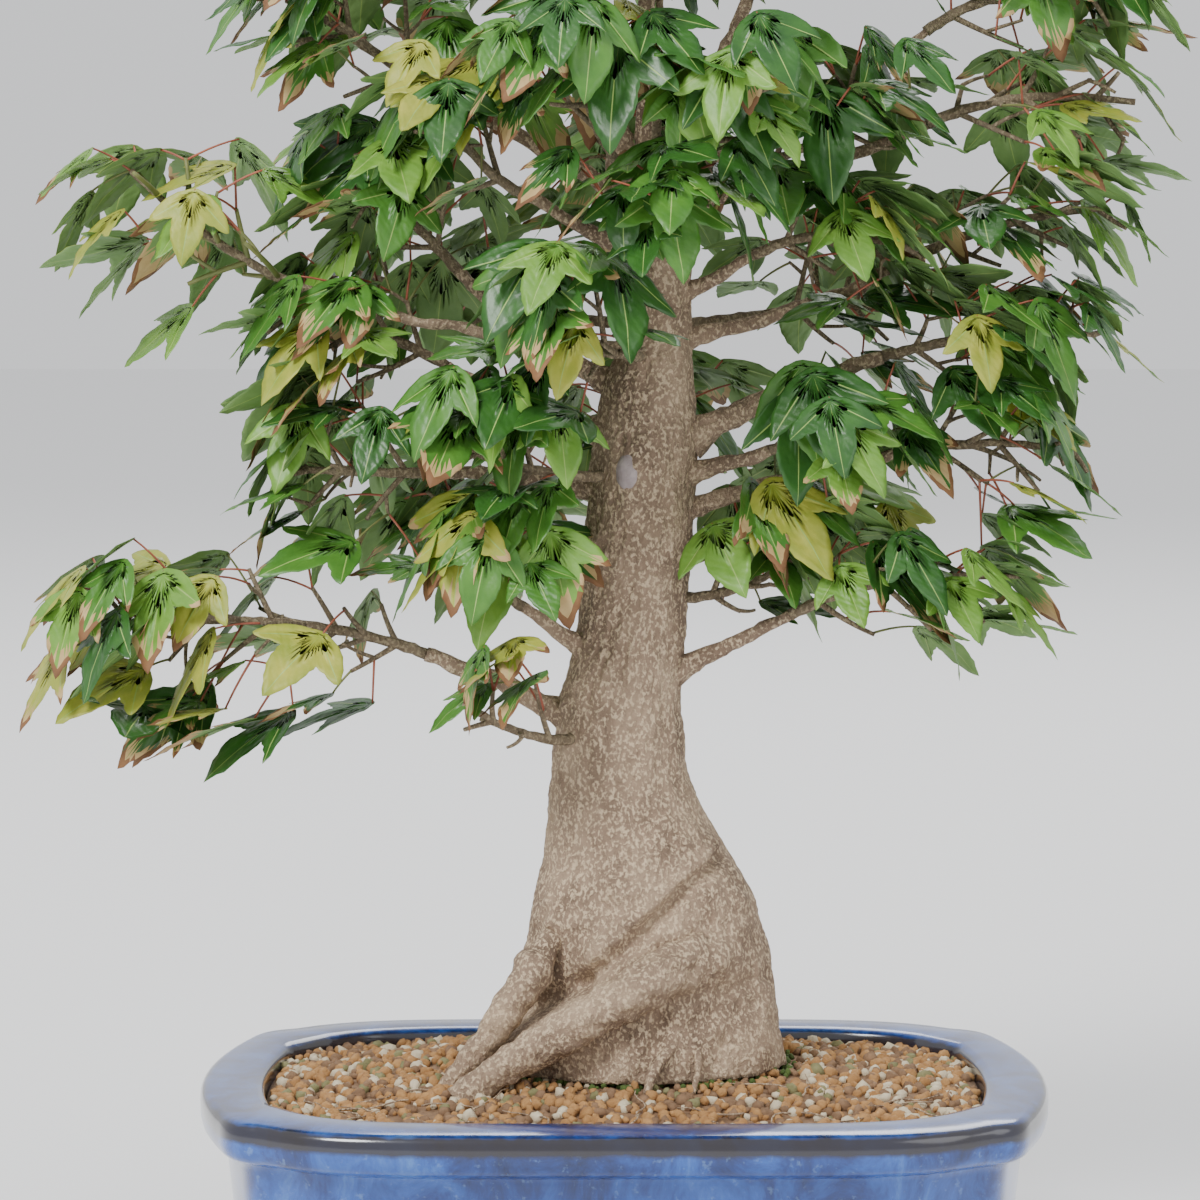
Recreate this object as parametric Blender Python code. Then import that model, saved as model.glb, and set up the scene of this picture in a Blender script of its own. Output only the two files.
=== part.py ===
"""Trident maple bonsai in a blue glazed pot, with soil, trunk, boughs and masses of foliage.

Run with: blender --background --python part.py
Sizes are in millimetres. They become Blender's metres where a mesh is made.
X runs to the right, Y to the back and Z up. The pot stands on the plane Z = 0.
"""

import math

import bmesh
import bpy
import numpy as np
from mathutils import Vector
from mathutils.bvhtree import BVHTree

METRES = 0.001

# Clearance between neighbouring pieces
GAP = 0.3

# Pot: the rim's plan is a bowed rectangle whose corners are two small lobes that meet in a ridge
RIM_HEIGHT = 92.0
FOOT_HEIGHT = 8.0
FLOOR_HEIGHT = 19.0
POT_HALF_WIDTH = 158.0
POT_HALF_DEPTH = 109.0
NOTCH = (131.0, 89.5)
RIDGE = (146.5, 71.5)
LOBE_BULGE = 3.0
LONG_SIDE_POWER = 6
CORNER_SHRINK = 0.75
# Height below the rim's inner lip, and how far the wall stands in from the rim's plan
POT_OUTSIDE = ((84.0, 19.0), (50.0, 12.8), (20.0, 9.6), (16.8, 8.2), (14.0, 2.0),
               (10.0, 0.0), (2.4, 0.6), (0.0, 22.4))
LIP_DROP, LIP_INSET = 1.4, 24.0
WALL_INSET_AT_FLOOR = 28.0
FOOT_WIDTH = 13.0
FOOT_SINK = 3.0

# Soil: it fills the pot and rises to a flat seat under the trunk
SEAT_HEIGHT = RIM_HEIGHT + 1.5
SOIL_EDGE_DROP = 6.0
SOIL_SHOULDER = (3.2, 16.0)
SEAT_CENTRE = (-2.0, 17.0)
SEAT_HALF_SIZE = (74.0, 56.0)

# Trunk: height above the seat, centre left or right of the foot, half-width and half-depth
TRUNK_FOOT = (0.0, 20.0)
TRUNK_STATIONS = (
    (0.0, 3.0, 52.0, 43.0),
    (9.0, 4.5, 50.5, 42.0),
    (25.0, 8.5, 47.0, 39.5),
    (38.0, 10.0, 45.0, 37.5),
    (52.0, 8.0, 43.0, 35.5),
    (68.0, 6.0, 38.5, 33.0),
    (80.0, 3.8, 33.5, 30.0),
    (94.0, 0.5, 28.5, 26.5),
    (114.0, -2.0, 24.5, 23.5),
    (140.0, -0.6, 21.2, 21.0),
    (165.0, 3.0, 19.8, 19.8),
    (200.0, 5.4, 19.6, 19.2),
    (236.0, 8.0, 19.2, 18.6),
    (256.0, 9.0, 16.4, 16.0),
    (275.0, 13.0, 11.4, 11.4),
    (298.0, 13.6, 11.3, 11.3),
    (322.0, 10.5, 13.0, 12.0),
    (340.0, 9.0, 15.6, 13.0),
)
TRUNK_RINGS = (0, 8, 18, 30, 44, 58, 72, 86, 104, 132, 165, 200, 236, 256, 275, 298, 322, 340)
TRUNK_SIDES = 20
# Root flare: compass angle, reach beyond the trunk at the seat, height over which it fades, sharpness
ROOTS = ((184.0, 8.0, 22.0, 9.0), (206.0, 15.0, 30.0, 7.0), (262.0, 5.0, 20.0, 6.0),
         (318.0, 7.0, 26.0, 5.0), (20.0, 6.0, 20.0, 5.0), (80.0, 8.0, 24.0, 5.0), (130.0, 9.0, 26.0, 6.0))

# Boughs: height of the foot on the trunk, tip from the trunk's foot (x, y, z), arch, foot and tip radius
BOUGHS = {
    "left_low": (131, (-74, -4, 155), 4, 4.6, 2.6),
    "left_inner": (157, (-38, -14, 174), 2, 3.2, 2.0),
    "left_middle_low": (216, (-70, -6, 223), 4, 3.6, 2.2),
    "left_middle": (238, (-66, 2, 262), -3, 4.4, 2.4),
    "left_shoot": (268, (-106, -4, 287), -4, 2.8, 1.6),
    "left_shoulder": (256, (-62, 6, 298), -5, 3.8, 2.2),
    "left_upper": (303, (-36, -15, 326), 2, 3.2, 2.0),
    "left_top": (326, (-70, 4, 365), 3, 3.4, 2.0),
    "right_low": (148, (62, -8, 170), 2, 4.0, 2.0),
    "right_middle_inner": (222, (54, -13, 232), 0, 3.6, 2.2),
    "right_middle_outer": (209, (104, 0, 230), 3, 3.6, 2.0),
    "right_middle": (236, (96, -4, 266), 6, 5.2, 2.6),
    "right_shoulder": (290, (48, -8, 304), 0, 2.8, 1.8),
    "right_outer": (272, (108, 10, 302), -4, 3.2, 1.8),
    "right_upper": (322, (112, -4, 352), -3, 3.2, 1.8),
    "right_top": (333, (112, 6, 386), -4, 3.0, 1.6),
    "leader_left": (342, (-20, 2, 396), 4, 4.6, 2.6),
    "leader_middle": (342, (8, 8, 418), -3, 4.8, 2.6),
    "leader_right": (342, (46, 4, 398), -6, 4.0, 2.2),
    "back_low": (196, (10, 46, 214), 3, 4.0, 2.2),
    "back_high": (296, (8, 44, 320), 3, 3.4, 2.2),
}
# Where a leader stands on the chopped top of the trunk
LEADER_FEET = {"leader_left": (0.5, -1.0), "leader_middle": (9.0, 3.0), "leader_right": (17.5, -1.0)}
BOUGH_SIDES = 5
BOUGH_STEPS = 4

# Foliage: what carries it ("trunk" or a bough), centre from the trunk's foot, half-size, leaves
FOLIAGE = {
    "left_shoot": ("left_shoot", (-157, -5, 319), (48, 36, 46), 9),
    "left_low": ("left_low", (-147, -8, 161), (80, 42, 37), 17),
    "left_low_spur": ("trunk", (-46, -36, 136), (28, 28, 25), 3),
    "left_inner": ("left_inner", (-42, -24, 184), (36, 32, 30), 8),
    "left_middle_low": ("left_middle_low", (-106, -6, 224), (40, 40, 39), 11),
    "left_middle_inner": ("trunk", (-48, -42, 234), (34, 32, 32), 8),
    "left_middle": ("left_middle", (-98, 0, 273), (46, 42, 29), 11),
    "left_shoulder": ("left_shoulder", (-90, 2, 324), (40, 42, 32), 10),
    "left_upper": ("left_upper", (-56, -26, 348), (38, 38, 30), 9),
    "left_top": ("left_top", (-102, 0, 386), (46, 44, 32), 11),
    "front_low": ("trunk", (-14, -60, 279), (36, 34, 34), 10),
    "front_middle": ("trunk", (12, -68, 322), (40, 34, 31), 9),
    "front_upper": ("trunk", (-14, -62, 372), (42, 36, 32), 10),
    "front_top": ("trunk", (36, -66, 362), (32, 34, 32), 8),
    "right_low": ("right_low", (104, -10, 178), (58, 34, 26), 9),
    "right_inner_low": ("trunk", (52, -6, 188), (30, 30, 29), 7),
    "right_middle_inner": ("right_middle_inner", (73, -22, 234), (40, 36, 33), 9),
    "right_middle_outer": ("right_middle_outer", (140, -5, 231), (42, 38, 36), 10),
    "right_middle": ("right_middle", (143, -5, 271), (50, 40, 27), 10),
    "right_shoulder": ("right_shoulder", (77, -16, 306), (42, 40, 30), 10),
    "right_outer": ("right_outer", (151, 2, 314), (46, 36, 24), 8),
    "right_upper": ("right_upper", (160, -5, 357), (46, 42, 33), 10),
    "right_upper_inner": ("trunk", (82, -24, 357), (40, 36, 31), 9),
    "right_top": ("right_top", (158, 6, 396), (45, 42, 24), 9),
    "top_left": ("leader_left", (-53, 0, 426), (48, 44, 33), 11),
    "top_centre": ("leader_middle", (9, 2, 460), (50, 46, 36), 12),
    "top_right": ("leader_right", (77, 2, 428), (48, 44, 32), 11),
    "top_front": ("trunk", (12, -60, 420), (44, 38, 30), 10),
    "top_back": ("trunk", (10, 58, 416), (46, 40, 32), 10),
    "back_low_left": ("trunk", (-56, 64, 196), (46, 44, 32), 10),
    "back_low_right": ("trunk", (68, 62, 200), (46, 44, 32), 10),
    "back_middle": ("back_low", (8, 88, 238), (50, 46, 34), 10),
    "back_left": ("trunk", (-78, 66, 290), (48, 46, 36), 11),
    "back_right": ("trunk", (92, 66, 290), (48, 46, 36), 11),
    "back_upper": ("back_high", (8, 82, 338), (50, 46, 36), 11),
}
# Height on the trunk from which a stem carried by the trunk leaves it
TRUNK_STEM_DROP = 12.0
TRUNK_STEM_RANGE = (120.0, 334.0)

# Twigs and leaves
SEED = 7
STEM_RADIUS = (2.8, 1.9)
TWIG_RADIUS = (1.2, 1.05)
NODE_SPACING = 13.0
NODES_AT_LEAST = 4
BRANCH_ANGLE = math.radians(52.0)
TWIG_REACH = (13.0, 40.0)
PETIOLE_LENGTH = (9.0, 24.0)
PETIOLE_RADIUS = 0.45
LEAF_LENGTH = (34.0, 48.0)
FULL_LEAF_ROOM = 40.0
SMALLEST_LEAF = 0.76
LEAF_DROOP = (math.radians(18.0), math.radians(72.0))
SHARPEST_BEND = 0.2
LEAF_THICKNESS = 0.9
FLAT_ANGLE = math.radians(0.5)
LEAF_TRIES = 14
LEAF_ROUNDS = 3
STALK_SPREAD = (0.2, 0.55, 1.0, 1.6)
ROOT_OFFSET = 0.25
# Sideways bows that a stem tries in turn, and shifts of its foot along the trunk
STEM_BOWS = ((0, 0, 0), (0, 0, 12), (0, 0, -12), (0, -12, 0), (0, 12, 0), (12, 0, 0), (-12, 0, 0),
             (0, -16, 16), (0, -16, -16), (0, 16, 16), (0, 16, -16), (0, 0, 26), (0, 0, -26))
STEM_SHIFTS = (0, -10, 10, -20, 20, -30, 30)
SPACE_SLACK = 1.25
# Leaf outline along the midrib and to one side, for a leaf one unit long, and how far each point hangs
LOBE_TIP = (0.46, 0.52, -0.10)
LOBE_NOTCH = (0.38, 0.16, 0.0)
CENTRE_TIP = (1.0, 0.0, -0.16)
CREST = (0.25, 0.03)

COLOURS = {
    "pot": ((0.03, 0.12, 0.42, 1.0), 0.2),
    "soil": ((0.52, 0.36, 0.2, 1.0), 0.95),
    "bark": ((0.55, 0.45, 0.34, 1.0), 0.85),
    "leaf": ((0.1, 0.27, 0.05, 1.0), 0.5),
}


def clear_scene():
    for old in list(bpy.data.objects):
        bpy.data.objects.remove(old, do_unlink=True)


def material(name):
    colour, roughness = COLOURS[name]
    made = bpy.data.materials.new(name)
    made.use_nodes = True
    shader = made.node_tree.nodes["Principled BSDF"]
    shader.inputs["Base Color"].default_value = colour
    shader.inputs["Roughness"].default_value = roughness
    shader.inputs["Metallic"].default_value = 0.0
    return made


def mesh_object(name, points, faces, material_name, smooth=True):
    """A named object from points in millimetres and faces that list point numbers."""
    mesh = bpy.data.meshes.new(name)
    mesh.from_pydata([tuple(float(c) * METRES for c in p) for p in points], [], faces)
    mesh.update()
    body = bmesh.new()
    body.from_mesh(mesh)
    bmesh.ops.recalc_face_normals(body, faces=body.faces)
    body.to_mesh(mesh)
    body.free()
    if smooth:
        mesh.shade_smooth()
        mesh.set_sharp_from_angle(angle=math.radians(40.0))
    made = bpy.data.objects.new(name, mesh)
    bpy.context.scene.collection.objects.link(made)
    mesh.materials.append(bpy.data.materials.get(material_name) or material(material_name))
    return made


def loft(rings):
    """Points and faces of a closed solid through rings of equal count, with a flat cap at each end."""
    count = len(rings[0])
    points = [p for ring in rings for p in ring]
    faces = []
    for low in range(0, (len(rings) - 1) * count, count):
        for i in range(count):
            j = (i + 1) % count
            faces.append((low + i, low + j, low + count + j, low + count + i))
    last = (len(rings) - 1) * count
    faces.append(tuple(reversed(range(count))))
    faces.append(tuple(range(last, last + count)))
    return points, faces


def union(base, others):
    """Joins the other objects to base with one Boolean on a collection, applied, and removes them."""
    if not others:
        return base
    group = bpy.data.collections.new(base.name + "_parts")
    for other in others:
        group.objects.link(other)
    before = base.data
    cut = base.modifiers.new("Join", "BOOLEAN")
    cut.operation = "UNION"
    cut.operand_type = "COLLECTION"
    cut.collection = group
    for solver in ("EXACT", "MANIFOLD"):
        cut.solver = solver
        bpy.context.view_layer.update()
        evaluated = base.evaluated_get(bpy.context.evaluated_depsgraph_get())
        joined = bpy.data.meshes.new_from_object(evaluated)
        keep_main_body(joined)
        if is_closed(joined):
            break
    base.modifiers.remove(cut)
    base.data = joined
    joined.name = base.name
    bpy.data.meshes.remove(before)
    for other in others:
        bpy.data.objects.remove(other, do_unlink=True)
    bpy.data.collections.remove(group)
    return base


def keep_main_body(mesh):
    """Deletes sealed hollows and loose scraps, which are every island of faces but the largest."""
    body = bmesh.new()
    body.from_mesh(mesh)
    waiting = set(body.faces)
    islands = []
    while waiting:
        island = []
        growing = [waiting.pop()]
        while growing:
            face = growing.pop()
            island.append(face)
            for edge in face.edges:
                for other in edge.link_faces:
                    if other in waiting:
                        waiting.remove(other)
                        growing.append(other)
        islands.append(island)
    islands.sort(key=len)
    for island in islands[:-1]:
        bmesh.ops.delete(body, geom=island, context="FACES")
    bmesh.ops.dissolve_limit(body, angle_limit=FLAT_ANGLE, use_dissolve_boundaries=False,
                             verts=body.verts, edges=body.edges)
    body.to_mesh(mesh)
    body.free()


def is_closed(mesh):
    """True where every edge of the mesh has two faces."""
    body = bmesh.new()
    body.from_mesh(mesh)
    closed = len(body.faces) > 0 and all(len(edge.link_faces) == 2 for edge in body.edges)
    body.free()
    return closed


def quarter_outline(inset, lobed):
    """Rim plan from the middle of the back to the middle of the right side, inset from the outer edge."""
    half_width = POT_HALF_WIDTH - inset
    half_depth = POT_HALF_DEPTH - inset
    shift = inset * CORNER_SHRINK
    notch = (NOTCH[0] - shift, NOTCH[1] - shift)
    ridge = (RIDGE[0] - shift, RIDGE[1] - shift)
    points = []
    for share in (0.0, 0.42, 0.74, 0.92, 1.0):
        drop = (half_depth - notch[1]) * share ** LONG_SIDE_POWER
        points.append((notch[0] * share, half_depth - drop))
    for share in (0.3, 0.65):
        bulge = LOBE_BULGE * lobed * math.sin(math.pi * share)
        x = notch[0] + (ridge[0] - notch[0]) * share + bulge * 0.7
        y = notch[1] + (ridge[1] - notch[1]) * share + bulge * 0.7
        points.append((x, y))
    for share in (1.0, 0.55, 0.0):
        points.append((half_width - (half_width - ridge[0]) * share ** 2, ridge[1] * share))
    return points


def pot_outline(inset, lobed=1.0):
    """Whole plan, counter-clockwise from the middle of the right side."""
    back_right = list(reversed(quarter_outline(inset, lobed)))
    back_left = [(-x, y) for x, y in reversed(back_right[:-1])]
    front_left = [(x, -y) for x, y in reversed(back_left[:-1])]
    front_right = [(-x, y) for x, y in reversed(front_left[:-1])]
    return back_right + back_left + front_left + front_right[:-1]


def wall_inset(height):
    """Inset of the pot's inner wall at a height above the ground."""
    share = (RIM_HEIGHT - LIP_DROP - height) / (RIM_HEIGHT - LIP_DROP - FLOOR_HEIGHT)
    return LIP_INSET + (WALL_INSET_AT_FLOOR - LIP_INSET) * share


def make_pot():
    rings = []
    for drop, inset in POT_OUTSIDE:
        lobed = 1.0 if inset < LIP_INSET - 3.0 else 0.0
        rings.append([(x, y, RIM_HEIGHT - drop) for x, y in pot_outline(inset, lobed)])
    lip = RIM_HEIGHT - LIP_DROP
    rings.append([(x, y, lip) for x, y in pot_outline(LIP_INSET, 0.0)])
    rings.append([(x, y, FLOOR_HEIGHT) for x, y in pot_outline(WALL_INSET_AT_FLOOR, 0.0)])
    pot = mesh_object("pot", *loft(rings), "pot")
    feet = [make_foot(number) for number in range(4)]
    return union(pot, feet)


def make_foot(number):
    """A bracket foot that follows one corner of the pot's base."""
    side_x = (1, -1, -1, 1)[number]
    side_y = (1, 1, -1, -1)[number]
    base_inset = POT_OUTSIDE[0][1]
    corner = []
    for inset in (base_inset + 0.6, base_inset + FOOT_WIDTH):
        line = quarter_outline(inset, 1.0)[2:-1]
        corner.append(line if not corner else list(reversed(line)))
    plan = [(x * side_x, y * side_y) for x, y in corner[0] + corner[1]]
    bottom = [(x, y, 0.0) for x, y in plan]
    top = [(x, y, FOOT_HEIGHT + FOOT_SINK) for x, y in plan]
    return mesh_object(f"foot_{number}", *loft([bottom, top]), "pot", smooth=False)


def make_soil():
    """Soil that stands clear of the pot's wall and floor, with a flat seat under the trunk."""
    clear = GAP + 0.25
    low = FLOOR_HEIGHT + GAP
    edge = RIM_HEIGHT - SOIL_EDGE_DROP
    shoulder_drop, shoulder_inset = SOIL_SHOULDER
    rings = [[(x, y, low) for x, y in pot_outline(wall_inset(low) + clear, 0.0)],
             [(x, y, edge) for x, y in pot_outline(wall_inset(edge) + clear, 0.0)],
             [(x, y, RIM_HEIGHT - shoulder_drop)
              for x, y in pot_outline(wall_inset(edge) + shoulder_inset, 0.0)]]
    seat = []
    for x, y, _ in rings[-1]:
        angle = math.atan2(y - SEAT_CENTRE[1], x - SEAT_CENTRE[0])
        seat.append((SEAT_CENTRE[0] + SEAT_HALF_SIZE[0] * math.cos(angle),
                     SEAT_CENTRE[1] + SEAT_HALF_SIZE[1] * math.sin(angle), SEAT_HEIGHT))
    rings.append(seat)
    return mesh_object("soil", *loft(rings), "soil", smooth=False)


def trunk_ring(height, sides=TRUNK_SIDES):
    """Cross-section of the trunk at a height above the seat, with the root flare near the ground."""
    heights = [row[0] for row in TRUNK_STATIONS]
    centre, half_width, half_depth = (
        float(np.interp(height, heights, [row[k] for row in TRUNK_STATIONS])) for k in (1, 2, 3))
    ring = []
    for i in range(sides):
        angle = 2.0 * math.pi * i / sides
        flare = 0.0
        for compass, reach, fade, sharpness in ROOTS:
            facing = max(0.0, math.cos(angle - math.radians(compass)))
            flare += reach * facing ** sharpness * math.exp(-((height / fade) ** 1.5))
        ring.append((TRUNK_FOOT[0] + centre + (half_width + flare) * math.cos(angle),
                     TRUNK_FOOT[1] + (half_depth + flare) * math.sin(angle),
                     SEAT_HEIGHT + GAP + height))
    return ring


def make_trunk():
    rings = [trunk_ring(float(height)) for height in TRUNK_RINGS]
    return mesh_object("trunk", *loft(rings), "bark")


def frames_along(points):
    """Tangent and two side directions at each point of a path, turning as little as possible."""
    tangents = []
    for i in range(len(points)):
        before = points[max(i - 1, 0)]
        after = points[min(i + 1, len(points) - 1)]
        tangents.append((after - before).normalized())
    side = tangents[0].cross(Vector((0.31, 0.17, 1.0))).normalized()
    frames = []
    for tangent in tangents:
        side = (side - tangent * side.dot(tangent)).normalized()
        frames.append((tangent, side, tangent.cross(side)))
    return frames


def tube(points, radii, sides, first=None):
    """Points and faces of a tapering limb. first, where given, is the direction its foot faces."""
    frames = frames_along(points)
    if first is not None:
        side = (frames[0][1] - first * frames[0][1].dot(first)).normalized()
        frames[0] = (first, side, first.cross(side))
    rings = []
    for point, radius, (_, side, other) in zip(points, radii, frames):
        ring = []
        for i in range(sides):
            angle = 2.0 * math.pi * i / sides
            ring.append(point + side * (radius * math.cos(angle)) + other * (radius * math.sin(angle)))
        rings.append(ring)
    return loft(rings)


def tree_of(points, faces):
    return BVHTree.FromPolygons([Vector(p) for p in points], [tuple(f) for f in faces])


class Obstacles:
    """What has been placed so far, to keep new pieces clear of it."""

    def __init__(self):
        self.items = []

    def add(self, points, faces):
        array = np.array([tuple(p) for p in points])
        self.items.append((array.min(0), array.max(0), tree_of(points, faces)))

    def touches(self, points, faces):
        array = np.array([tuple(p) for p in points])
        low, high = array.min(0) - GAP, array.max(0) + GAP
        probe = None
        for other_low, other_high, tree in self.items:
            if np.any(low > other_high) or np.any(high < other_low):
                continue
            probe = probe or tree_of(points, faces)
            if tree.overlap(probe):
                return True
        return False


def trunk_socket(trunk_tree, height, toward):
    """Point on the trunk's surface that faces a target, GAP clear of it, and the surface's normal."""
    heights = [row[0] for row in TRUNK_STATIONS]
    centre_x = TRUNK_FOOT[0] + float(np.interp(height, heights, [row[1] for row in TRUNK_STATIONS]))
    centre = Vector((centre_x, TRUNK_FOOT[1], SEAT_HEIGHT + height))
    heading = Vector((toward[0] - centre.x, toward[1] - centre.y, 0.0)).normalized()
    outside = centre + heading * 200.0
    hit, normal, _, _ = trunk_tree.ray_cast(outside, -heading)
    if normal.dot(heading) < 0:
        normal = -normal
    return hit + normal * GAP, normal


def bezier(start, middle, end, steps):
    points = []
    for i in range(steps + 1):
        t = i / steps
        points.append(start * (1 - t) ** 2 + middle * (2 * t * (1 - t)) + end * t ** 2)
    return points


def from_foot(place):
    """A place measured from the trunk's foot, as a point in the model."""
    return Vector((TRUNK_FOOT[0] + place[0], TRUNK_FOOT[1] + place[1], SEAT_HEIGHT + place[2]))


def clear_of(tree, points, faces, normal):
    """Moves a limb's points off a surface, along its normal, until they stand clear."""
    moved = [Vector(p) for p in points]
    while tree.overlap(tree_of(moved, faces)):
        moved = [p + normal * (GAP / 3.0) for p in moved]
    return moved


def bough_shape(name, trunk_tree):
    """Points and faces of a bough, its tip and the direction in which it ends."""
    height, tip, arch, foot_radius, tip_radius = BOUGHS[name]
    end = from_foot(tip)
    if name in LEADER_FEET:
        foot_x, foot_y = LEADER_FEET[name]
        top = SEAT_HEIGHT + GAP + TRUNK_RINGS[-1] + GAP
        start = Vector((TRUNK_FOOT[0] + foot_x, TRUNK_FOOT[1] + foot_y, top))
        normal = Vector((0.0, 0.0, 1.0))
    else:
        start, normal = trunk_socket(trunk_tree, height, end)
    span = (end - start).length
    middle = (start + end) / 2 + Vector((0.0, 0.0, arch)) + normal * (span * 0.06)
    points = bezier(start, middle, end, BOUGH_STEPS)
    radii = [foot_radius + (tip_radius - foot_radius) * (i / BOUGH_STEPS) ** 0.7
             for i in range(BOUGH_STEPS + 1)]
    shape_points, faces = tube(points, radii, BOUGH_SIDES, first=normal)
    shape_points = clear_of(trunk_tree, shape_points, faces, normal)
    return shape_points, faces, end, (points[-1] - points[-2]).normalized()


def leaf_shape(root, stalk, stalk_length, midrib, across, up, length, extra=0.0):
    """Points and faces of one three-lobed leaf on a three-sided stalk. extra thickens it for a test."""
    base = root + stalk * stalk_length
    side = (across - stalk * across.dot(stalk)).normalized()
    under = stalk.cross(side)
    thin = PETIOLE_RADIUS + extra
    corners = (side * -thin - under * (thin * 0.5), under * thin, side * thin - under * (thin * 0.5))
    points = [root + corner for corner in corners] + [base + corner for corner in corners]

    def place(spec, sign):
        along, aside, hang = spec
        grown = 1.0 + extra / 12.0
        return base + (midrib * along + across * (aside * sign) + up * hang) * (length * grown)

    points.append(place(LOBE_TIP, -1))
    points.append(place(LOBE_NOTCH, -1))
    points.append(place(CENTRE_TIP, 0))
    points.append(place(LOBE_NOTCH, 1))
    points.append(place(LOBE_TIP, 1))
    crest = base + midrib * (CREST[0] * length) + up * (CREST[1] * length)
    points.append(crest + up * (LEAF_THICKNESS / 2 + extra))
    points.append(crest - up * (LEAF_THICKNESS / 2 + extra))
    left, below, right, top, bottom = 3, 4, 5, 11, 12
    rim = (left, 6, 7, 8, 9, 10, right)
    faces = [(2, 1, 0), (0, 1, 4, 3), (1, 2, 5, 4), (2, 0, 3, 5)]
    for first, second in zip(rim, rim[1:]):
        faces.append((top, second, first))
        faces.append((bottom, first, second))
    faces.append((top, left, right))
    faces.append((bottom, below, left))
    faces.append((bottom, right, below))
    return points, faces


def leaf_frame(base, stalk, droop, roll):
    """Midrib, across and up directions of a blade that hangs outward from the tree."""
    outward = Vector((base.x - TRUNK_FOOT[0], base.y - TRUNK_FOOT[1], 0.0))
    outward = outward.normalized() if outward.length > 1.0 else Vector((0.0, -1.0, 0.0))
    level = Vector((stalk.x, stalk.y, 0.0))
    heading = (level * 1.1 + outward * 0.6)
    heading = heading.normalized() if heading.length > 0.05 else outward
    down = Vector((0.0, 0.0, -1.0))
    midrib = (heading * math.cos(droop) + down * math.sin(droop)).normalized()
    midrib = (midrib + stalk * max(0.0, SHARPEST_BEND - midrib.dot(stalk))).normalized()
    across = midrib.cross(Vector((0.0, 0.0, 1.0))).normalized()
    up = across.cross(midrib)
    rolled = across * math.cos(roll) + up * math.sin(roll)
    return midrib, rolled, rolled.cross(midrib)


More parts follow.
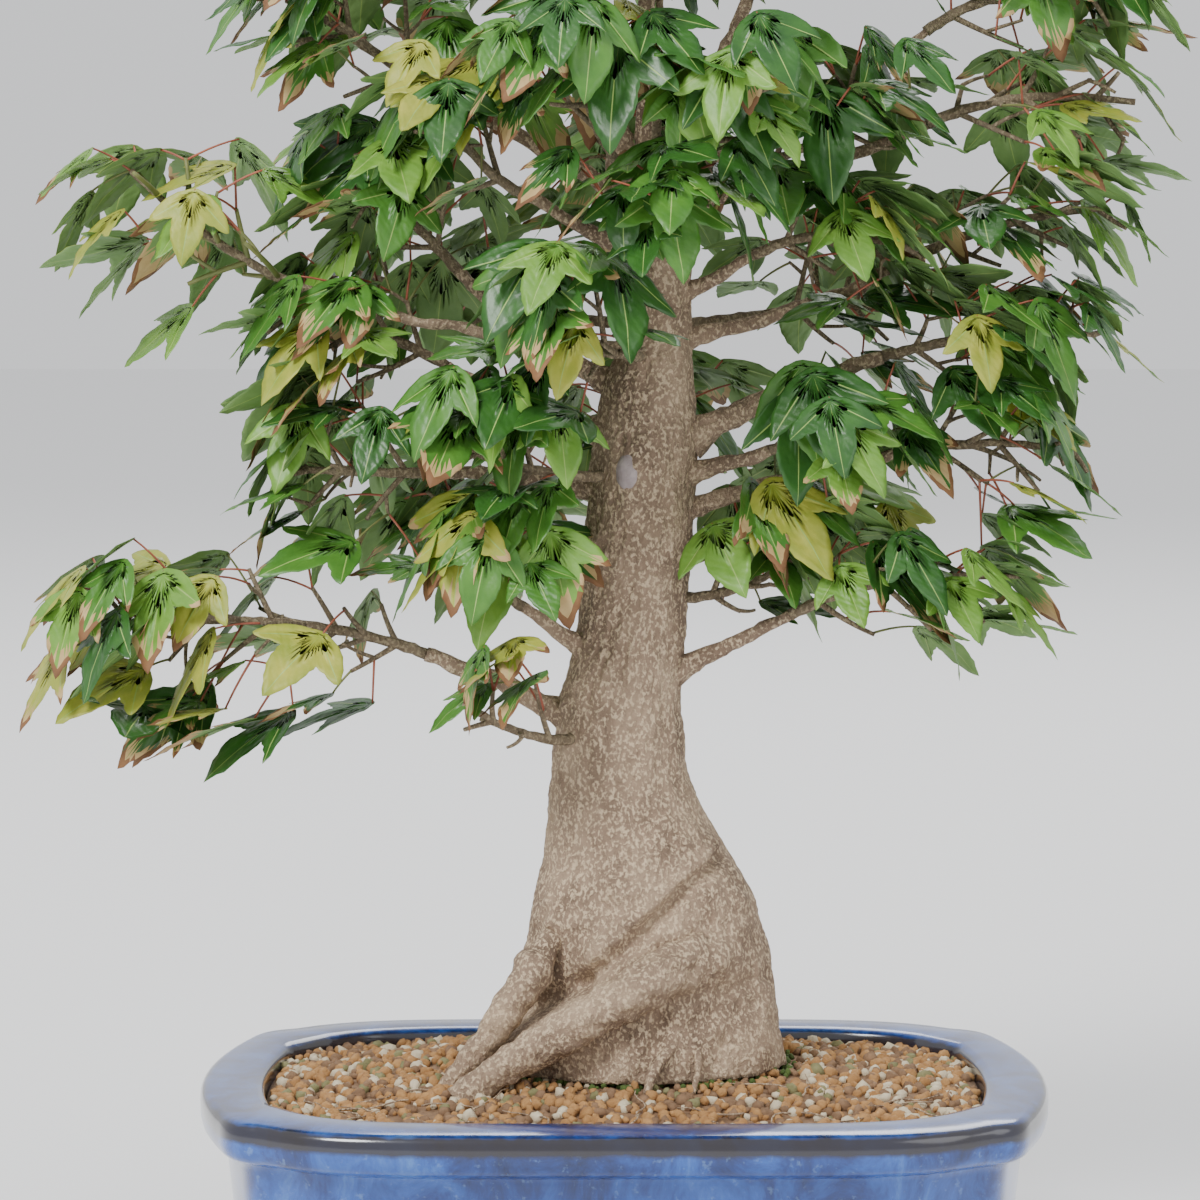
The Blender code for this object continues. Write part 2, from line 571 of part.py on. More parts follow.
class Mass:
    """One mass of foliage: a stem, twigs and leaves inside an ellipsoid of space."""

    def __init__(self, name, number, start, heading):
        _, centre, half, self.quota = FOLIAGE[name]
        self.name = name
        self.number = number
        self.centre = from_foot(centre)
        self.half = Vector(half)
        self.leaf_scale = min(1.0, max(SMALLEST_LEAF, sum(half) / 3.0 / FULL_LEAF_ROOM))
        self.random = np.random.default_rng([SEED, number])
        self.start = start
        self.heading = heading
        self.twigs = []
        self.leaves = []

    def inside(self, point, slack=SPACE_SLACK):
        away = point - self.centre
        return sum((away[k] / self.half[k]) ** 2 for k in range(3)) <= slack ** 2

    def reach(self, point, direction, limit):
        """How far a twig runs from a point before it leaves the space."""
        step = 2.0
        run = 0.0
        while run < limit and self.inside(point + direction * (run + step), 0.86):
            run += step
        return run

    def stem_path(self, bow):
        """From the bough's tip through the middle of the space, to near its far side."""
        toward = (self.centre - self.start).normalized()
        run = self.reach(self.centre, toward, 200.0)
        end = self.centre + toward * (run * 0.72)
        span = (end - self.start).length
        middle = self.start + self.heading * (span * 0.45) + bow
        steps = max(NODES_AT_LEAST, int(round(span / NODE_SPACING)))
        return bezier(self.start, middle, end, steps)

    def stem(self, obstacles):
        """The stem's path and radii for the first bow that stands clear of everything, or None."""
        for bow in STEM_BOWS:
            path = self.stem_path(Vector(bow))
            count = len(path) - 1
            radii = [STEM_RADIUS[0] + (STEM_RADIUS[1] - STEM_RADIUS[0]) * i / count
                     for i in range(count + 1)]
            if not obstacles.touches(*tube(path, radii, 3, first=self.heading)):
                return path, radii
        return None

    def grow(self, stem, obstacles):
        path = stem[0]
        count = len(path) - 1
        self.twigs.append(stem)
        frames = frames_along(path)
        buds = []
        for i in range(1, count + 1):
            if not self.inside(path[i], 1.0):
                continue
            tangent, side, other = frames[i]
            turn = math.radians(90.0 * i + self.random.uniform(-25.0, 25.0))
            for sign in (0.0, math.pi):
                spread = side * math.cos(turn + sign) + other * math.sin(turn + sign)
                direction = (tangent * math.cos(BRANCH_ANGLE) + spread * math.sin(BRANCH_ANGLE)).normalized()
                buds.append((path[i], direction))
            if i == count:
                buds.append((path[i] - tangent * 1.2, tangent))
        self.sprout(buds, obstacles)

    def sprout(self, buds, obstacles):
        """Turns each bud into a twig with leaf buds, or straight into a leaf bud."""
        leaf_buds = []
        for point, direction in buds:
            room = self.reach(point, direction, TWIG_REACH[1])
            length = room * self.random.uniform(0.55, 0.8)
            if length < TWIG_REACH[0]:
                leaf_buds.append((point, direction, 0))
                continue
            bend = Vector(tuple(self.random.uniform(-0.12, 0.12, 3))) + Vector((0.0, 0.0, 0.08))
            end = point + (direction + bend).normalized() * length
            path = [point + (end - point).normalized() * ROOT_OFFSET, end]
            shape = tube(path, TWIG_RADIUS, 3)
            if obstacles.touches(*shape):
                leaf_buds.append((point, direction, 0))
                continue
            twig = len(self.twigs)
            self.twigs.append((path, TWIG_RADIUS))
            tangent, side, other = frames_along(path)[0]
            turn = self.random.uniform(0.0, math.pi)
            stops = (0.55, 0.96) if length > 24.0 else (0.94,)
            for k, share in enumerate(stops):
                place = point + (end - point) * share
                for sign in (0.0, math.pi):
                    angle = turn + sign + math.pi / 2 * k
                    spread = side * math.cos(angle) + other * math.sin(angle)
                    heading = (tangent * math.cos(BRANCH_ANGLE) + spread * math.sin(BRANCH_ANGLE)).normalized()
                    leaf_buds.append((place, heading, twig))
            leaf_buds.append((point + (end - point) * 0.96, tangent, twig))
        self.leaf_out(leaf_buds, obstacles)

    def leaf_out(self, buds, obstacles):
        """Fills one twig after another with leaves, in a seeded order, until the mass has its quota."""
        own = Obstacles()
        kept = {0}
        groups = {}
        for number, (_, _, twig) in enumerate(buds):
            groups.setdefault(twig or -1 - number, []).append(number)
        names = list(groups)
        for pick in self.random.permutation(len(names)):
            group = groups[names[pick]]
            for turn in range(LEAF_ROUNDS):
                for number in list(group):
                    if len(self.leaves) >= self.quota:
                        break
                    point, direction, twig = buds[number]
                    chance = np.random.default_rng([SEED, self.number, number, turn])
                    leaf = self.find_leaf(point, direction, chance, turn, obstacles, own)
                    if leaf:
                        self.leaves.append(leaf)
                        own.add(*leaf)
                        group.remove(number)
                        kept.add(twig)
        self.twigs = [twig for number, twig in enumerate(self.twigs) if number in kept]

    def find_leaf(self, point, direction, chance, turn, obstacles, own):
        """The first leaf at a bud that stays in the space and touches nothing, or None."""
        for attempt in range(LEAF_TRIES):
            share = attempt / LEAF_TRIES
            spread = STALK_SPREAD[turn] * (1 - share) + STALK_SPREAD[turn + 1] * share
            leaf = self.try_leaf(point, direction, chance, spread, obstacles, own)
            if leaf:
                return leaf
        return None

    def try_leaf(self, point, direction, chance, spread, obstacles, own):
        stalk = (direction + Vector(tuple(chance.uniform(-spread, spread, 3)))).normalized()
        stalk_length = chance.uniform(*PETIOLE_LENGTH) * self.leaf_scale
        droop = chance.uniform(*LEAF_DROOP)
        roll = math.radians(chance.uniform(-28.0, 28.0))
        length = chance.uniform(*LEAF_LENGTH) * self.leaf_scale
        base = point + stalk * stalk_length
        frame = leaf_frame(base, stalk, droop, roll)
        probe = leaf_shape(point + stalk * 3.0, stalk, stalk_length - 3.0, *frame, length, extra=GAP * 1.5)
        if not all(self.inside(p) for p in probe[0][6:11]):
            return None
        if obstacles.touches(*probe) or own.touches(*probe):
            return None
        return leaf_shape(point + stalk * ROOT_OFFSET, stalk, stalk_length - ROOT_OFFSET, *frame, length)

    def build(self):
        """The mass as one object, and its shape for the pieces that come after it."""
        parts = []
        for number, (path, radii) in enumerate(self.twigs):
            first = self.heading if number == 0 else None
            shape = tube(path, radii, 3, first=first)
            parts.append(mesh_object(f"{self.name}_twig_{number}", *shape, "leaf", smooth=False))
        for number, shape in enumerate(self.leaves):
            parts.append(mesh_object(f"{self.name}_leaf_{number}", *shape, "leaf", smooth=False))
        whole = union(parts[0], parts[1:])
        whole.name = "foliage_" + self.name
        whole.data.name = whole.name
        return whole


def make_boughs(trunk_tree, obstacles):
    tips = {}
    for name in BOUGHS:
        points, faces, tip, heading = bough_shape(name, trunk_tree)
        mesh_object("bough_" + name, points, faces, "bark")
        obstacles.add(points, faces)
        tips[name] = (Vector(tip), heading)
    return tips


def stem_feet(carrier, centre, trunk_tree, tips):
    """Places where a mass's stem may start, best first, each with the direction it starts in."""
    if carrier != "trunk":
        tip, heading = tips[carrier]
        return [(tip + heading * GAP, heading)]
    feet = []
    for shift in STEM_SHIFTS:
        height = centre.z - SEAT_HEIGHT - TRUNK_STEM_DROP + shift
        height = min(max(height, TRUNK_STEM_RANGE[0]), TRUNK_STEM_RANGE[1])
        start, heading = trunk_socket(trunk_tree, height, centre)
        feet.append((start + heading * GAP, heading))
    return feet


def make_foliage(trunk_tree, tips, obstacles):
    for number, (name, row) in enumerate(FOLIAGE.items()):
        for start, heading in stem_feet(row[0], from_foot(row[1]), trunk_tree, tips):
            mass = Mass(name, number, start, heading)
            stem = mass.stem(obstacles)
            if stem:
                break
        mass.grow(stem, obstacles)
        whole = mass.build()
        corners = [v.co / METRES for v in whole.data.vertices]
        obstacles.add(corners, [tuple(p.vertices) for p in whole.data.polygons])


def centre_on_origin():
    """Moves every piece so that the plant's bounding box is centred over the origin."""
    pieces = [o for o in bpy.context.scene.objects if o.type == "MESH"]
    corners = np.array([tuple(v.co) for o in pieces for v in o.data.vertices])
    middle = (corners.min(0) + corners.max(0)) / 2
    for piece in pieces:
        piece.location = (-middle[0], -middle[1], 0.0)


def main():
    clear_scene()
    pot = make_pot()
    soil = make_soil()
    trunk = make_trunk()
    obstacles = Obstacles()
    for piece in (pot, soil, trunk):
        corners = [v.co / METRES for v in piece.data.vertices]
        obstacles.add(corners, [tuple(p.vertices) for p in piece.data.polygons])
    corners = [v.co / METRES for v in trunk.data.vertices]
    trunk_tree = tree_of(corners, [tuple(p.vertices) for p in trunk.data.polygons])
    tips = make_boughs(trunk_tree, obstacles)
    make_foliage(trunk_tree, tips, obstacles)
    centre_on_origin()


main()
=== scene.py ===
import itertools
import math

import bpy
import numpy as np
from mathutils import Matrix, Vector, noise


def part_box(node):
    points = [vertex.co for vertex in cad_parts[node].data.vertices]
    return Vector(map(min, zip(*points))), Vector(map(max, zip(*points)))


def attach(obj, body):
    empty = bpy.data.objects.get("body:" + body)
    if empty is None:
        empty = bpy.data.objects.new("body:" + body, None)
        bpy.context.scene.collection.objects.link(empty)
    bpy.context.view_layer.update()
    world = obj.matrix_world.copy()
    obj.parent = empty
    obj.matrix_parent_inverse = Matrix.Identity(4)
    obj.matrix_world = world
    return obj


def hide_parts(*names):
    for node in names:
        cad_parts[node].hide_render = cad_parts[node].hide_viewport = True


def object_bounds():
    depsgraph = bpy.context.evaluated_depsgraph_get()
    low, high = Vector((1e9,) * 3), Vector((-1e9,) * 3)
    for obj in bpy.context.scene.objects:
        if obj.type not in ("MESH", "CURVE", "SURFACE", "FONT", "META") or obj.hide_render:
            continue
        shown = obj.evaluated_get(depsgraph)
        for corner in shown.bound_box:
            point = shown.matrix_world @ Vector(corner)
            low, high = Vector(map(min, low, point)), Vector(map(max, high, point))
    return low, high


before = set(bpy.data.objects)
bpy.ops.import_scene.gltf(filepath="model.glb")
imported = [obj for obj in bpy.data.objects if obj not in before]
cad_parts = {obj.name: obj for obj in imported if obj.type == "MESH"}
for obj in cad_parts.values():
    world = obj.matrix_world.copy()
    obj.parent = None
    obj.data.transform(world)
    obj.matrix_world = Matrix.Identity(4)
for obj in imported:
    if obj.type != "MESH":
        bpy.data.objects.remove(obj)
CAD_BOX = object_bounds()

MM = 0.001
POT_LOW, POT_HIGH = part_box("pot")
SHIFT = Vector(((POT_LOW[0] + POT_HIGH[0]) / 2, (POT_LOW[1] + POT_HIGH[1]) / 2, 0.0))

# Sizes in millimetres from the middle of the pot's underside
RIM = 92.0
SEAT = 93.5
FOOT_X, FOOT_Y = 0.0, 20.0
SEED = 7
# Trunk: height above the seat, centre, half-width and half-depth
TRUNK_HEIGHT = 340.0
TRUNK_STATIONS = np.array((
    (0, 3, 52, 43), (9, 4.5, 50.5, 42), (25, 8.5, 47, 39.5),
    (38, 10, 45, 37.5), (52, 8, 43, 35.5), (68, 6, 38.5, 33),
    (80, 3.8, 33.5, 30), (94, 0.5, 28.5, 26.5), (114, -2, 24.5, 23.5),
    (140, -0.6, 21.2, 21), (165, 3, 19.8, 19.8), (200, 5.4, 19.6, 19.2),
    (236, 8, 19.2, 18.6), (256, 9, 16.4, 16), (275, 13, 11.4, 11.4),
    (298, 13.6, 11.3, 11.3), (322, 10.5, 13, 12), (340, 9, 15.6, 13),
))
# Root flare: compass angle, reach, height where it fades, and sharpness
ROOTS = (
    (184, 5, 20, 9), (206, 4, 24, 7), (262, 4, 20, 6), (318, 7, 26, 5), (20, 6, 20, 5),
    (80, 8, 24, 5), (130, 9, 26, 6),
)
# Boughs: height of the foot, tip from the trunk's foot, arch, and radius at foot and tip
BOUGHS = {
    "left_low": (131, (-74, -4, 155), 4, 4.6, 2.6),
    "left_inner": (157, (-38, -14, 174), 2, 3.2, 2.0),
    "left_middle_low": (216, (-70, -6, 223), 4, 3.6, 2.2),
    "left_middle": (238, (-66, 2, 262), -3, 4.4, 2.4),
    "left_shoot": (268, (-106, -4, 287), -4, 2.8, 1.6),
    "left_shoulder": (256, (-62, 6, 298), -5, 3.8, 2.2),
    "left_upper": (303, (-36, -15, 326), 2, 3.2, 2.0),
    "left_top": (326, (-70, 4, 365), 3, 3.4, 2.0),
    "right_low": (148, (62, -8, 170), 2, 4.0, 2.0),
    "right_middle_inner": (222, (54, -13, 232), 0, 3.6, 2.2),
    "right_middle_outer": (209, (104, 0, 230), 3, 3.6, 2.0),
    "right_middle": (236, (96, -4, 266), 6, 5.2, 2.6),
    "right_shoulder": (290, (48, -8, 304), 0, 2.8, 1.8),
    "right_outer": (272, (108, 10, 302), -4, 3.2, 1.8),
    "right_upper": (322, (112, -4, 352), -3, 3.2, 1.8),
    "right_top": (333, (112, 6, 386), -4, 3.0, 1.6),
    "leader_left": (342, (-20, 2, 396), 4, 4.6, 2.6),
    "leader_middle": (342, (8, 8, 418), -3, 4.8, 2.6),
    "leader_right": (342, (46, 4, 398), -6, 4.0, 2.2),
    "back_low": (196, (10, 46, 214), 3, 4.0, 2.2),
    "back_high": (296, (8, 44, 320), 3, 3.4, 2.2),
}
LEADER_FEET = {"leader_left": (0.5, -1.0), "leader_middle": (9.0, 3.0),
               "leader_right": (17.5, -1.0)}
# Foliage: middle from the trunk's foot, half-sizes, and number of leaves in the solid
FOLIAGE = {
    "left_shoot": ((-157, -5, 319), (48, 36, 46), 9),
    "left_low": ((-147, -8, 161), (80, 42, 37), 17),
    "left_low_spur": ((-46, -36, 136), (28, 28, 25), 3),
    "left_inner": ((-42, -24, 184), (36, 32, 30), 8),
    "left_middle_low": ((-106, -6, 224), (40, 40, 39), 11),
    "left_middle_inner": ((-48, -42, 234), (34, 32, 32), 8),
    "left_middle": ((-98, 0, 273), (46, 42, 29), 11),
    "left_shoulder": ((-90, 2, 324), (40, 42, 32), 10),
    "left_upper": ((-56, -26, 348), (38, 38, 30), 9),
    "left_top": ((-102, 0, 386), (46, 44, 32), 11),
    "front_low": ((-14, -60, 279), (36, 34, 34), 10),
    "front_middle": ((12, -68, 322), (40, 34, 31), 9),
    "front_upper": ((-14, -62, 372), (42, 36, 32), 10),
    "front_top": ((36, -66, 362), (32, 34, 32), 8),
    "right_low": ((104, -10, 178), (58, 34, 26), 9),
    "right_inner_low": ((52, -6, 188), (30, 30, 29), 7),
    "right_middle_inner": ((73, -22, 234), (40, 36, 33), 9),
    "right_middle_outer": ((140, -5, 231), (42, 38, 36), 10),
    "right_middle": ((143, -5, 271), (50, 40, 27), 10),
    "right_shoulder": ((77, -16, 306), (42, 40, 30), 10),
    "right_outer": ((151, 2, 314), (46, 36, 24), 8),
    "right_upper": ((160, -5, 357), (46, 42, 33), 10),
    "right_upper_inner": ((82, -24, 357), (40, 36, 31), 9),
    "right_top": ((158, 6, 396), (45, 42, 24), 9),
    "top_left": ((-53, 0, 426), (48, 44, 33), 11),
    "top_centre": ((9, 2, 460), (50, 46, 36), 12),
    "top_right": ((77, 2, 428), (48, 44, 32), 11),
    "top_front": ((12, -60, 420), (44, 38, 30), 10),
    "top_back": ((10, 58, 416), (46, 40, 32), 10),
    "back_low_left": ((-56, 64, 196), (46, 44, 32), 10),
    "back_low_right": ((68, 62, 200), (46, 44, 32), 10),
    "back_middle": ((8, 88, 238), (50, 46, 34), 10),
    "back_left": ((-78, 66, 290), (48, 46, 36), 11),
    "back_right": ((92, 66, 290), (48, 46, 36), 11),
    "back_upper": ((8, 82, 338), (50, 46, 36), 11),
}
# What carries a mass where it isn't the bough of its own name or, without one, the trunk
CARRIERS = {"top_left": "leader_left", "top_centre": "leader_middle", "top_right": "leader_right",
            "back_middle": "back_low", "back_upper": "back_high"}


# Materials

MIX_INPUTS, MIX_RESULT = (0, 6, 7), 2


def shader_of(name, colour, roughness, **more):
    made = bpy.data.materials.new(name)
    made.use_nodes = True
    shader = made.node_tree.nodes["Principled BSDF"]
    shader.inputs["Base Color"].default_value = (*colour, 1.0)
    shader.inputs["Roughness"].default_value = roughness
    for key, value in more.items():
        shader.inputs[key.replace("_", " ")].default_value = value
    return made, made.node_tree, shader


def new_node(tree, kind, **inputs):
    """A shader node of a kind, with its named sockets set."""
    made = tree.nodes.new("ShaderNode" + kind)
    for key, value in inputs.items():
        made.inputs[key].default_value = value
    return made


def feed(tree, socket, value):
    """Gives a socket a number, a colour or a link from another socket."""
    if isinstance(value, (int, float)):
        socket.default_value = value
    elif isinstance(value, tuple):
        socket.default_value = (*value, 1.0)
    else:
        tree.links.new(value, socket)


def ramp(tree, source, stops):
    made = new_node(tree, "ValToRGB")
    elements = made.color_ramp.elements
    while len(elements) < len(stops):
        elements.new(0.5)
    for element, (place, colour) in zip(elements, stops):
        element.position = place
        element.color = (*colour, 1.0)
    tree.links.new(source, made.inputs["Fac"])
    return made.outputs["Color"]


def mask(tree, source, *stops):
    """A ramp of grays, each stop a place and a value."""
    return ramp(tree, source, [(place, (value,) * 3) for place, value in stops])


def mix(tree, factor, first, second):
    made = new_node(tree, "Mix")
    made.data_type = "RGBA"
    for number, value in zip(MIX_INPUTS, (factor, first, second)):
        feed(tree, made.inputs[number], value)
    return made.outputs[MIX_RESULT]


def math_of(tree, operation, *values):
    made = new_node(tree, "Math")
    made.operation = operation
    for socket, value in zip(made.inputs, values):
        feed(tree, socket, value)
    return made.outputs[0]


def finish_shader(tree, shader, colour, height, strength, distance):
    """Gives a shader its colour, and a bump from a height."""
    tree.links.new(colour, shader.inputs["Base Color"])
    made = new_node(tree, "Bump", Strength=strength, Distance=distance)
    tree.links.new(height, made.inputs["Height"])
    tree.links.new(made.outputs["Normal"], shader.inputs["Normal"])


def noise_of(tree, scale, detail=4.0, rough=0.6, stretch=None, distortion=0.0):
    coords = new_node(tree, "TexCoord").outputs["Object"]
    if stretch:
        mapping = new_node(tree, "Mapping", Scale=stretch)
        tree.links.new(coords, mapping.inputs["Vector"])
        coords = mapping.outputs["Vector"]
    made = new_node(tree, "TexNoise", Scale=scale, Detail=detail, Roughness=rough,
                    Distortion=distortion)
    tree.links.new(coords, made.inputs["Vector"])
    return made.outputs["Fac"]


def leaf_material(name, dark, light, roughness):
    made, tree, shader = shader_of(name, light, roughness)
    colour = ramp(tree, noise_of(tree, 90.0), ((0.3, dark), (0.7, light)))
    wave = new_node(tree, "TexWave", Scale=5.5, Distortion=5.0)
    wave.wave_type = "BANDS"
    wave.bands_direction = "DIAGONAL"
    tree.links.new(new_node(tree, "TexCoord").outputs["UV"], wave.inputs["Vector"])
    ribs = math_of(tree, "ADD", wave.outputs["Fac"], noise_of(tree, 900.0, 2.0))
    finish_shader(tree, shader, colour, ribs, 0.22, 0.0003)
    return made


# Bark tones: stops of the ground colour, and the colour of the flakes on it
OLD_BARK = (((0.3, (0.16, 0.105, 0.07)), (0.5, (0.31, 0.215, 0.145)), (0.7, (0.48, 0.35, 0.235))),
            (0.72, 0.56, 0.37))
YOUNG_BARK = (((0.25, (0.09, 0.065, 0.04)), (0.5, (0.19, 0.14, 0.085)), (0.75, (0.3, 0.24, 0.16))),
              (0.4, 0.32, 0.2))
BARK_BASE, CRACK = (0.3, 0.22, 0.16), (0.11, 0.075, 0.055)


def bark_material(name, ground, flake):
    made, tree, shader = shader_of(name, BARK_BASE, 0.86)
    colour = ramp(tree, noise_of(tree, 46.0, 6.0, 0.65, (1.0, 1.0, 0.7)), ground)
    flakes = noise_of(tree, 760.0, 3.0, 0.55, (1.0, 1.0, 0.75), 0.3)
    colour = mix(tree, mask(tree, flakes, (0.5, 0.0), (0.6, 0.8)), colour, flake)
    cracks = noise_of(tree, 240.0, 6.0, 0.7, (1.3, 1.3, 0.45), 1.0)
    colour = mix(tree, mask(tree, cracks, (0.3, 0.6), (0.4, 0.0)), colour, CRACK)
    finish_shader(tree, shader, colour, math_of(tree, "ADD", flakes, cracks), 1.0, 0.0014)
    return made


# Glaze: the ramp reads heights in tenths of a metre, so that the rim falls between 0 and 1
RAMP_PER_METRE = 10.0
RIM_WANDER = 0.004
GLAZE_BLUES = (
    (0.3, (0.003, 0.01, 0.05)), (0.45, (0.006, 0.035, 0.2)), (0.58, (0.014, 0.09, 0.4)),
    (0.8, (0.09, 0.24, 0.56)),
)
GLAZE_SPECK, RIM_BROWN = (0.16, 0.3, 0.56), (0.016, 0.012, 0.012)


def glaze_material():
    made, tree, shader = shader_of("glaze", (0.02, 0.08, 0.36), 0.2, Coat_Weight=0.8,
                                   Coat_Roughness=0.12)
    mottle = noise_of(tree, 42.0, 8.0, 0.72, (1.0, 1.0, 0.7), 0.6)
    specks = noise_of(tree, 260.0, 3.0, 0.7)
    blue = mix(tree, mask(tree, specks, (0.6, 0.0), (0.72, 0.4)), ramp(tree, mottle, GLAZE_BLUES),
               GLAZE_SPECK)
    split = new_node(tree, "SeparateXYZ")
    tree.links.new(new_node(tree, "TexCoord").outputs["Object"], split.inputs[0])
    height = math_of(tree, "MULTIPLY_ADD", noise_of(tree, 60.0, 5.0), RIM_WANDER,
                     split.outputs["Z"])
    rim = RIM * MM * RAMP_PER_METRE
    band = mask(tree, math_of(tree, "MULTIPLY", height, RAMP_PER_METRE), (rim - 0.062, 0.0),
                (rim - 0.046, 0.95), (rim + 0.006, 0.95), (rim + 0.018, 0.12))
    finish_shader(tree, shader, mix(tree, band, blue, RIM_BROWN), mottle, 0.12, 0.0008)
    return made


def grain_material(name, dark, light):
    made, tree, shader = shader_of(name, light, 0.95)
    colour = ramp(tree, noise_of(tree, 260.0, 5.0), ((0.3, dark), (0.7, light)))
    finish_shader(tree, shader, colour, noise_of(tree, 1500.0, 3.0), 0.8, 0.0005)
    return made


LEAF_KINDS = (
    ("leaf_dark", (0.018, 0.08, 0.012), (0.042, 0.145, 0.02), 0.36),
    ("leaf_mid", (0.045, 0.155, 0.018), (0.09, 0.24, 0.03), 0.4),
    ("leaf_light", (0.11, 0.26, 0.03), (0.19, 0.37, 0.05), 0.44),
    ("leaf_yellow", (0.24, 0.3, 0.03), (0.42, 0.42, 0.06), 0.48),
    ("leaf_under", (0.13, 0.25, 0.07), (0.2, 0.34, 0.1), 0.62),
    ("leaf_vein", (0.24, 0.38, 0.08), (0.36, 0.5, 0.14), 0.5),
    ("leaf_tan", (0.4, 0.26, 0.1), (0.56, 0.4, 0.19), 0.7),
    ("leaf_brown", (0.14, 0.06, 0.022), (0.25, 0.12, 0.045), 0.72),
)
LIGHT, YELLOW, UNDER, VEIN, TAN, BROWN = 2, 3, 4, 5, 6, 7
GRAIN_KINDS = (
    ("grain_orange", (0.3, 0.145, 0.05), (0.5, 0.28, 0.11)),
    ("grain_brown", (0.15, 0.085, 0.045), (0.3, 0.18, 0.1)),
    ("grain_cream", (0.5, 0.41, 0.27), (0.72, 0.63, 0.46)),
    ("grain_green", (0.16, 0.15, 0.06), (0.27, 0.25, 0.12)),
    ("moss", (0.03, 0.06, 0.012), (0.1, 0.15, 0.03)),
)
MOSS = 4
LEAVES = [leaf_material(*row) for row in LEAF_KINDS]
BARK = bark_material("bark", *OLD_BARK)
TWIG = bark_material("twig", *YOUNG_BARK)
PETIOLE = leaf_material("petiole", (0.24, 0.06, 0.035), (0.42, 0.12, 0.06), 0.5)
SHOOT = leaf_material("shoot", (0.12, 0.15, 0.04), (0.22, 0.22, 0.07), 0.55)
WOOD = grain_material("cut_wood", (0.16, 0.085, 0.04), (0.3, 0.18, 0.09))
GLAZE = glaze_material()
GRAINS = [grain_material(*row) for row in GRAIN_KINDS]


# Meshes

def place_object(name, data):
    made = bpy.data.objects.new(name, data)
    bpy.context.scene.collection.objects.link(made)
    return made


class Builder:
    """Collects points with their leaf coordinates, and faces with their material numbers."""

    def __init__(self):
        self.points, self.faces, self.kinds, self.plans = [], [], [], []
        self.count = 0

    def add(self, points, faces, kinds=0, plan=None):
        points = np.asarray(points, float)
        self.points.append(points)
        self.plans.append(np.zeros((len(points), 2)) if plan is None else plan)
        self.faces.append(np.asarray(faces) + self.count)
        self.kinds.append(np.broadcast_to(np.asarray(kinds), (len(faces),)))
        self.count += len(points)

    def finish(self, name, materials, slot, nodes=(), smooth=True):
        points = np.concatenate(self.points) * MM + np.array(SHIFT)
        faces = np.concatenate(self.faces)
        mesh = bpy.data.meshes.new(name)
        mesh.vertices.add(len(points))
        mesh.vertices.foreach_set("co", points.ravel())
        mesh.loops.add(faces.size)
        mesh.loops.foreach_set("vertex_index", faces.ravel().astype(np.int32))
        mesh.polygons.add(len(faces))
        starts = np.arange(0, faces.size, faces.shape[1], dtype=np.int32)
        mesh.polygons.foreach_set("loop_start", starts)
        for each in materials:
            mesh.materials.append(each)
        mesh.polygons.foreach_set("material_index", np.concatenate(self.kinds).astype(np.int32))
        mesh.update(calc_edges=True)
        plan = np.concatenate(self.plans)[faces.ravel()]
        mesh.uv_layers.new(name="plan").data.foreach_set("uv", plan.ravel())
        mesh.validate()
        if smooth:
            mesh.shade_smooth()
        made = place_object(name, mesh)
        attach(made, "root")
        if nodes:
            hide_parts(*nodes)
        return made


def grid_faces(rings, count):
    """Triangles between consecutive closed rings of points."""
    a = np.arange((rings - 1) * count)
    b = a - a % count + (a + 1) % count
    return np.stack([a, b, b + count, a, b + count, a + count], 1).reshape(-1, 3)


def fan_faces(hub, first, count, forward=True):
    """Triangles from the point hub to a closed ring whose points start at first."""
    a = first + np.arange(count)
    b = np.roll(a, -1)
    return np.stack([np.full(count, hub), *((a, b) if forward else (b, a))], 1)


def frames_along(points):
    tangents = np.gradient(points, axis=0)
    tangents /= np.linalg.norm(tangents, axis=1)[:, None] + 1e-9
    side = np.cross(tangents[0], (0.31, 0.17, 1.0))
    frames = []
    for tangent in tangents:
        side = side - tangent * side.dot(tangent)
        side = side / (np.linalg.norm(side) + 1e-9)
        frames.append((side, np.cross(tangent, side)))
    return frames


def noise_rows(values, key, lanes, scale):
    """Smooth noise along a limb, one column for each lane."""
    return np.array([[noise.noise(Vector((v * scale, key, lane))) for lane in lanes]
                     for v in values])


LUMP_SCALE = 0.22


def tube(builder, points, radii, sides, kind=0, rough=0.0, seed=0.0):
    """A tapering limb with closed ends and lumps that rise by a share of its radius."""
    points = np.asarray(points, float)
    turns = np.linspace(0, 2 * math.pi, sides, endpoint=False)
    rings = []
    for point, radius, (side, other) in zip(points, radii, frames_along(points)):
        ring = point + radius * (np.outer(np.cos(turns), side) + np.outer(np.sin(turns), other))
        if rough:
            offset = Vector((seed, 0, 0))
            lumps = np.array([noise.noise(Vector(p) * LUMP_SCALE + offset) for p in ring])
            ring = point + (ring - point) * (1 + rough * lumps)[:, None]
        rings.append(ring)
    count = len(points)
    foot, tip, last = count * sides, count * sides + 1, (count - 1) * sides
    faces = np.concatenate([grid_faces(count, sides), fan_faces(foot, 0, sides, False),
                            fan_faces(tip, last, sides)])
    builder.add(np.concatenate(rings + [points[:1], points[-1:]]), faces, kind)


def bezier(start, middle, end, steps):
    t = np.linspace(0, 1, steps + 1)[:, None]
    return start * (1 - t) ** 2 + middle * (2 * t * (1 - t)) + end * t ** 2


def station(height):
    """The trunk's centre, half-width and half-depth at one height or more."""
    return [np.interp(height, TRUNK_STATIONS[:, 0], TRUNK_STATIONS[:, k]) for k in (1, 2, 3)]


def from_foot(place):
    return np.array((FOOT_X + place[0], FOOT_Y + place[1], SEAT + place[2]), float)


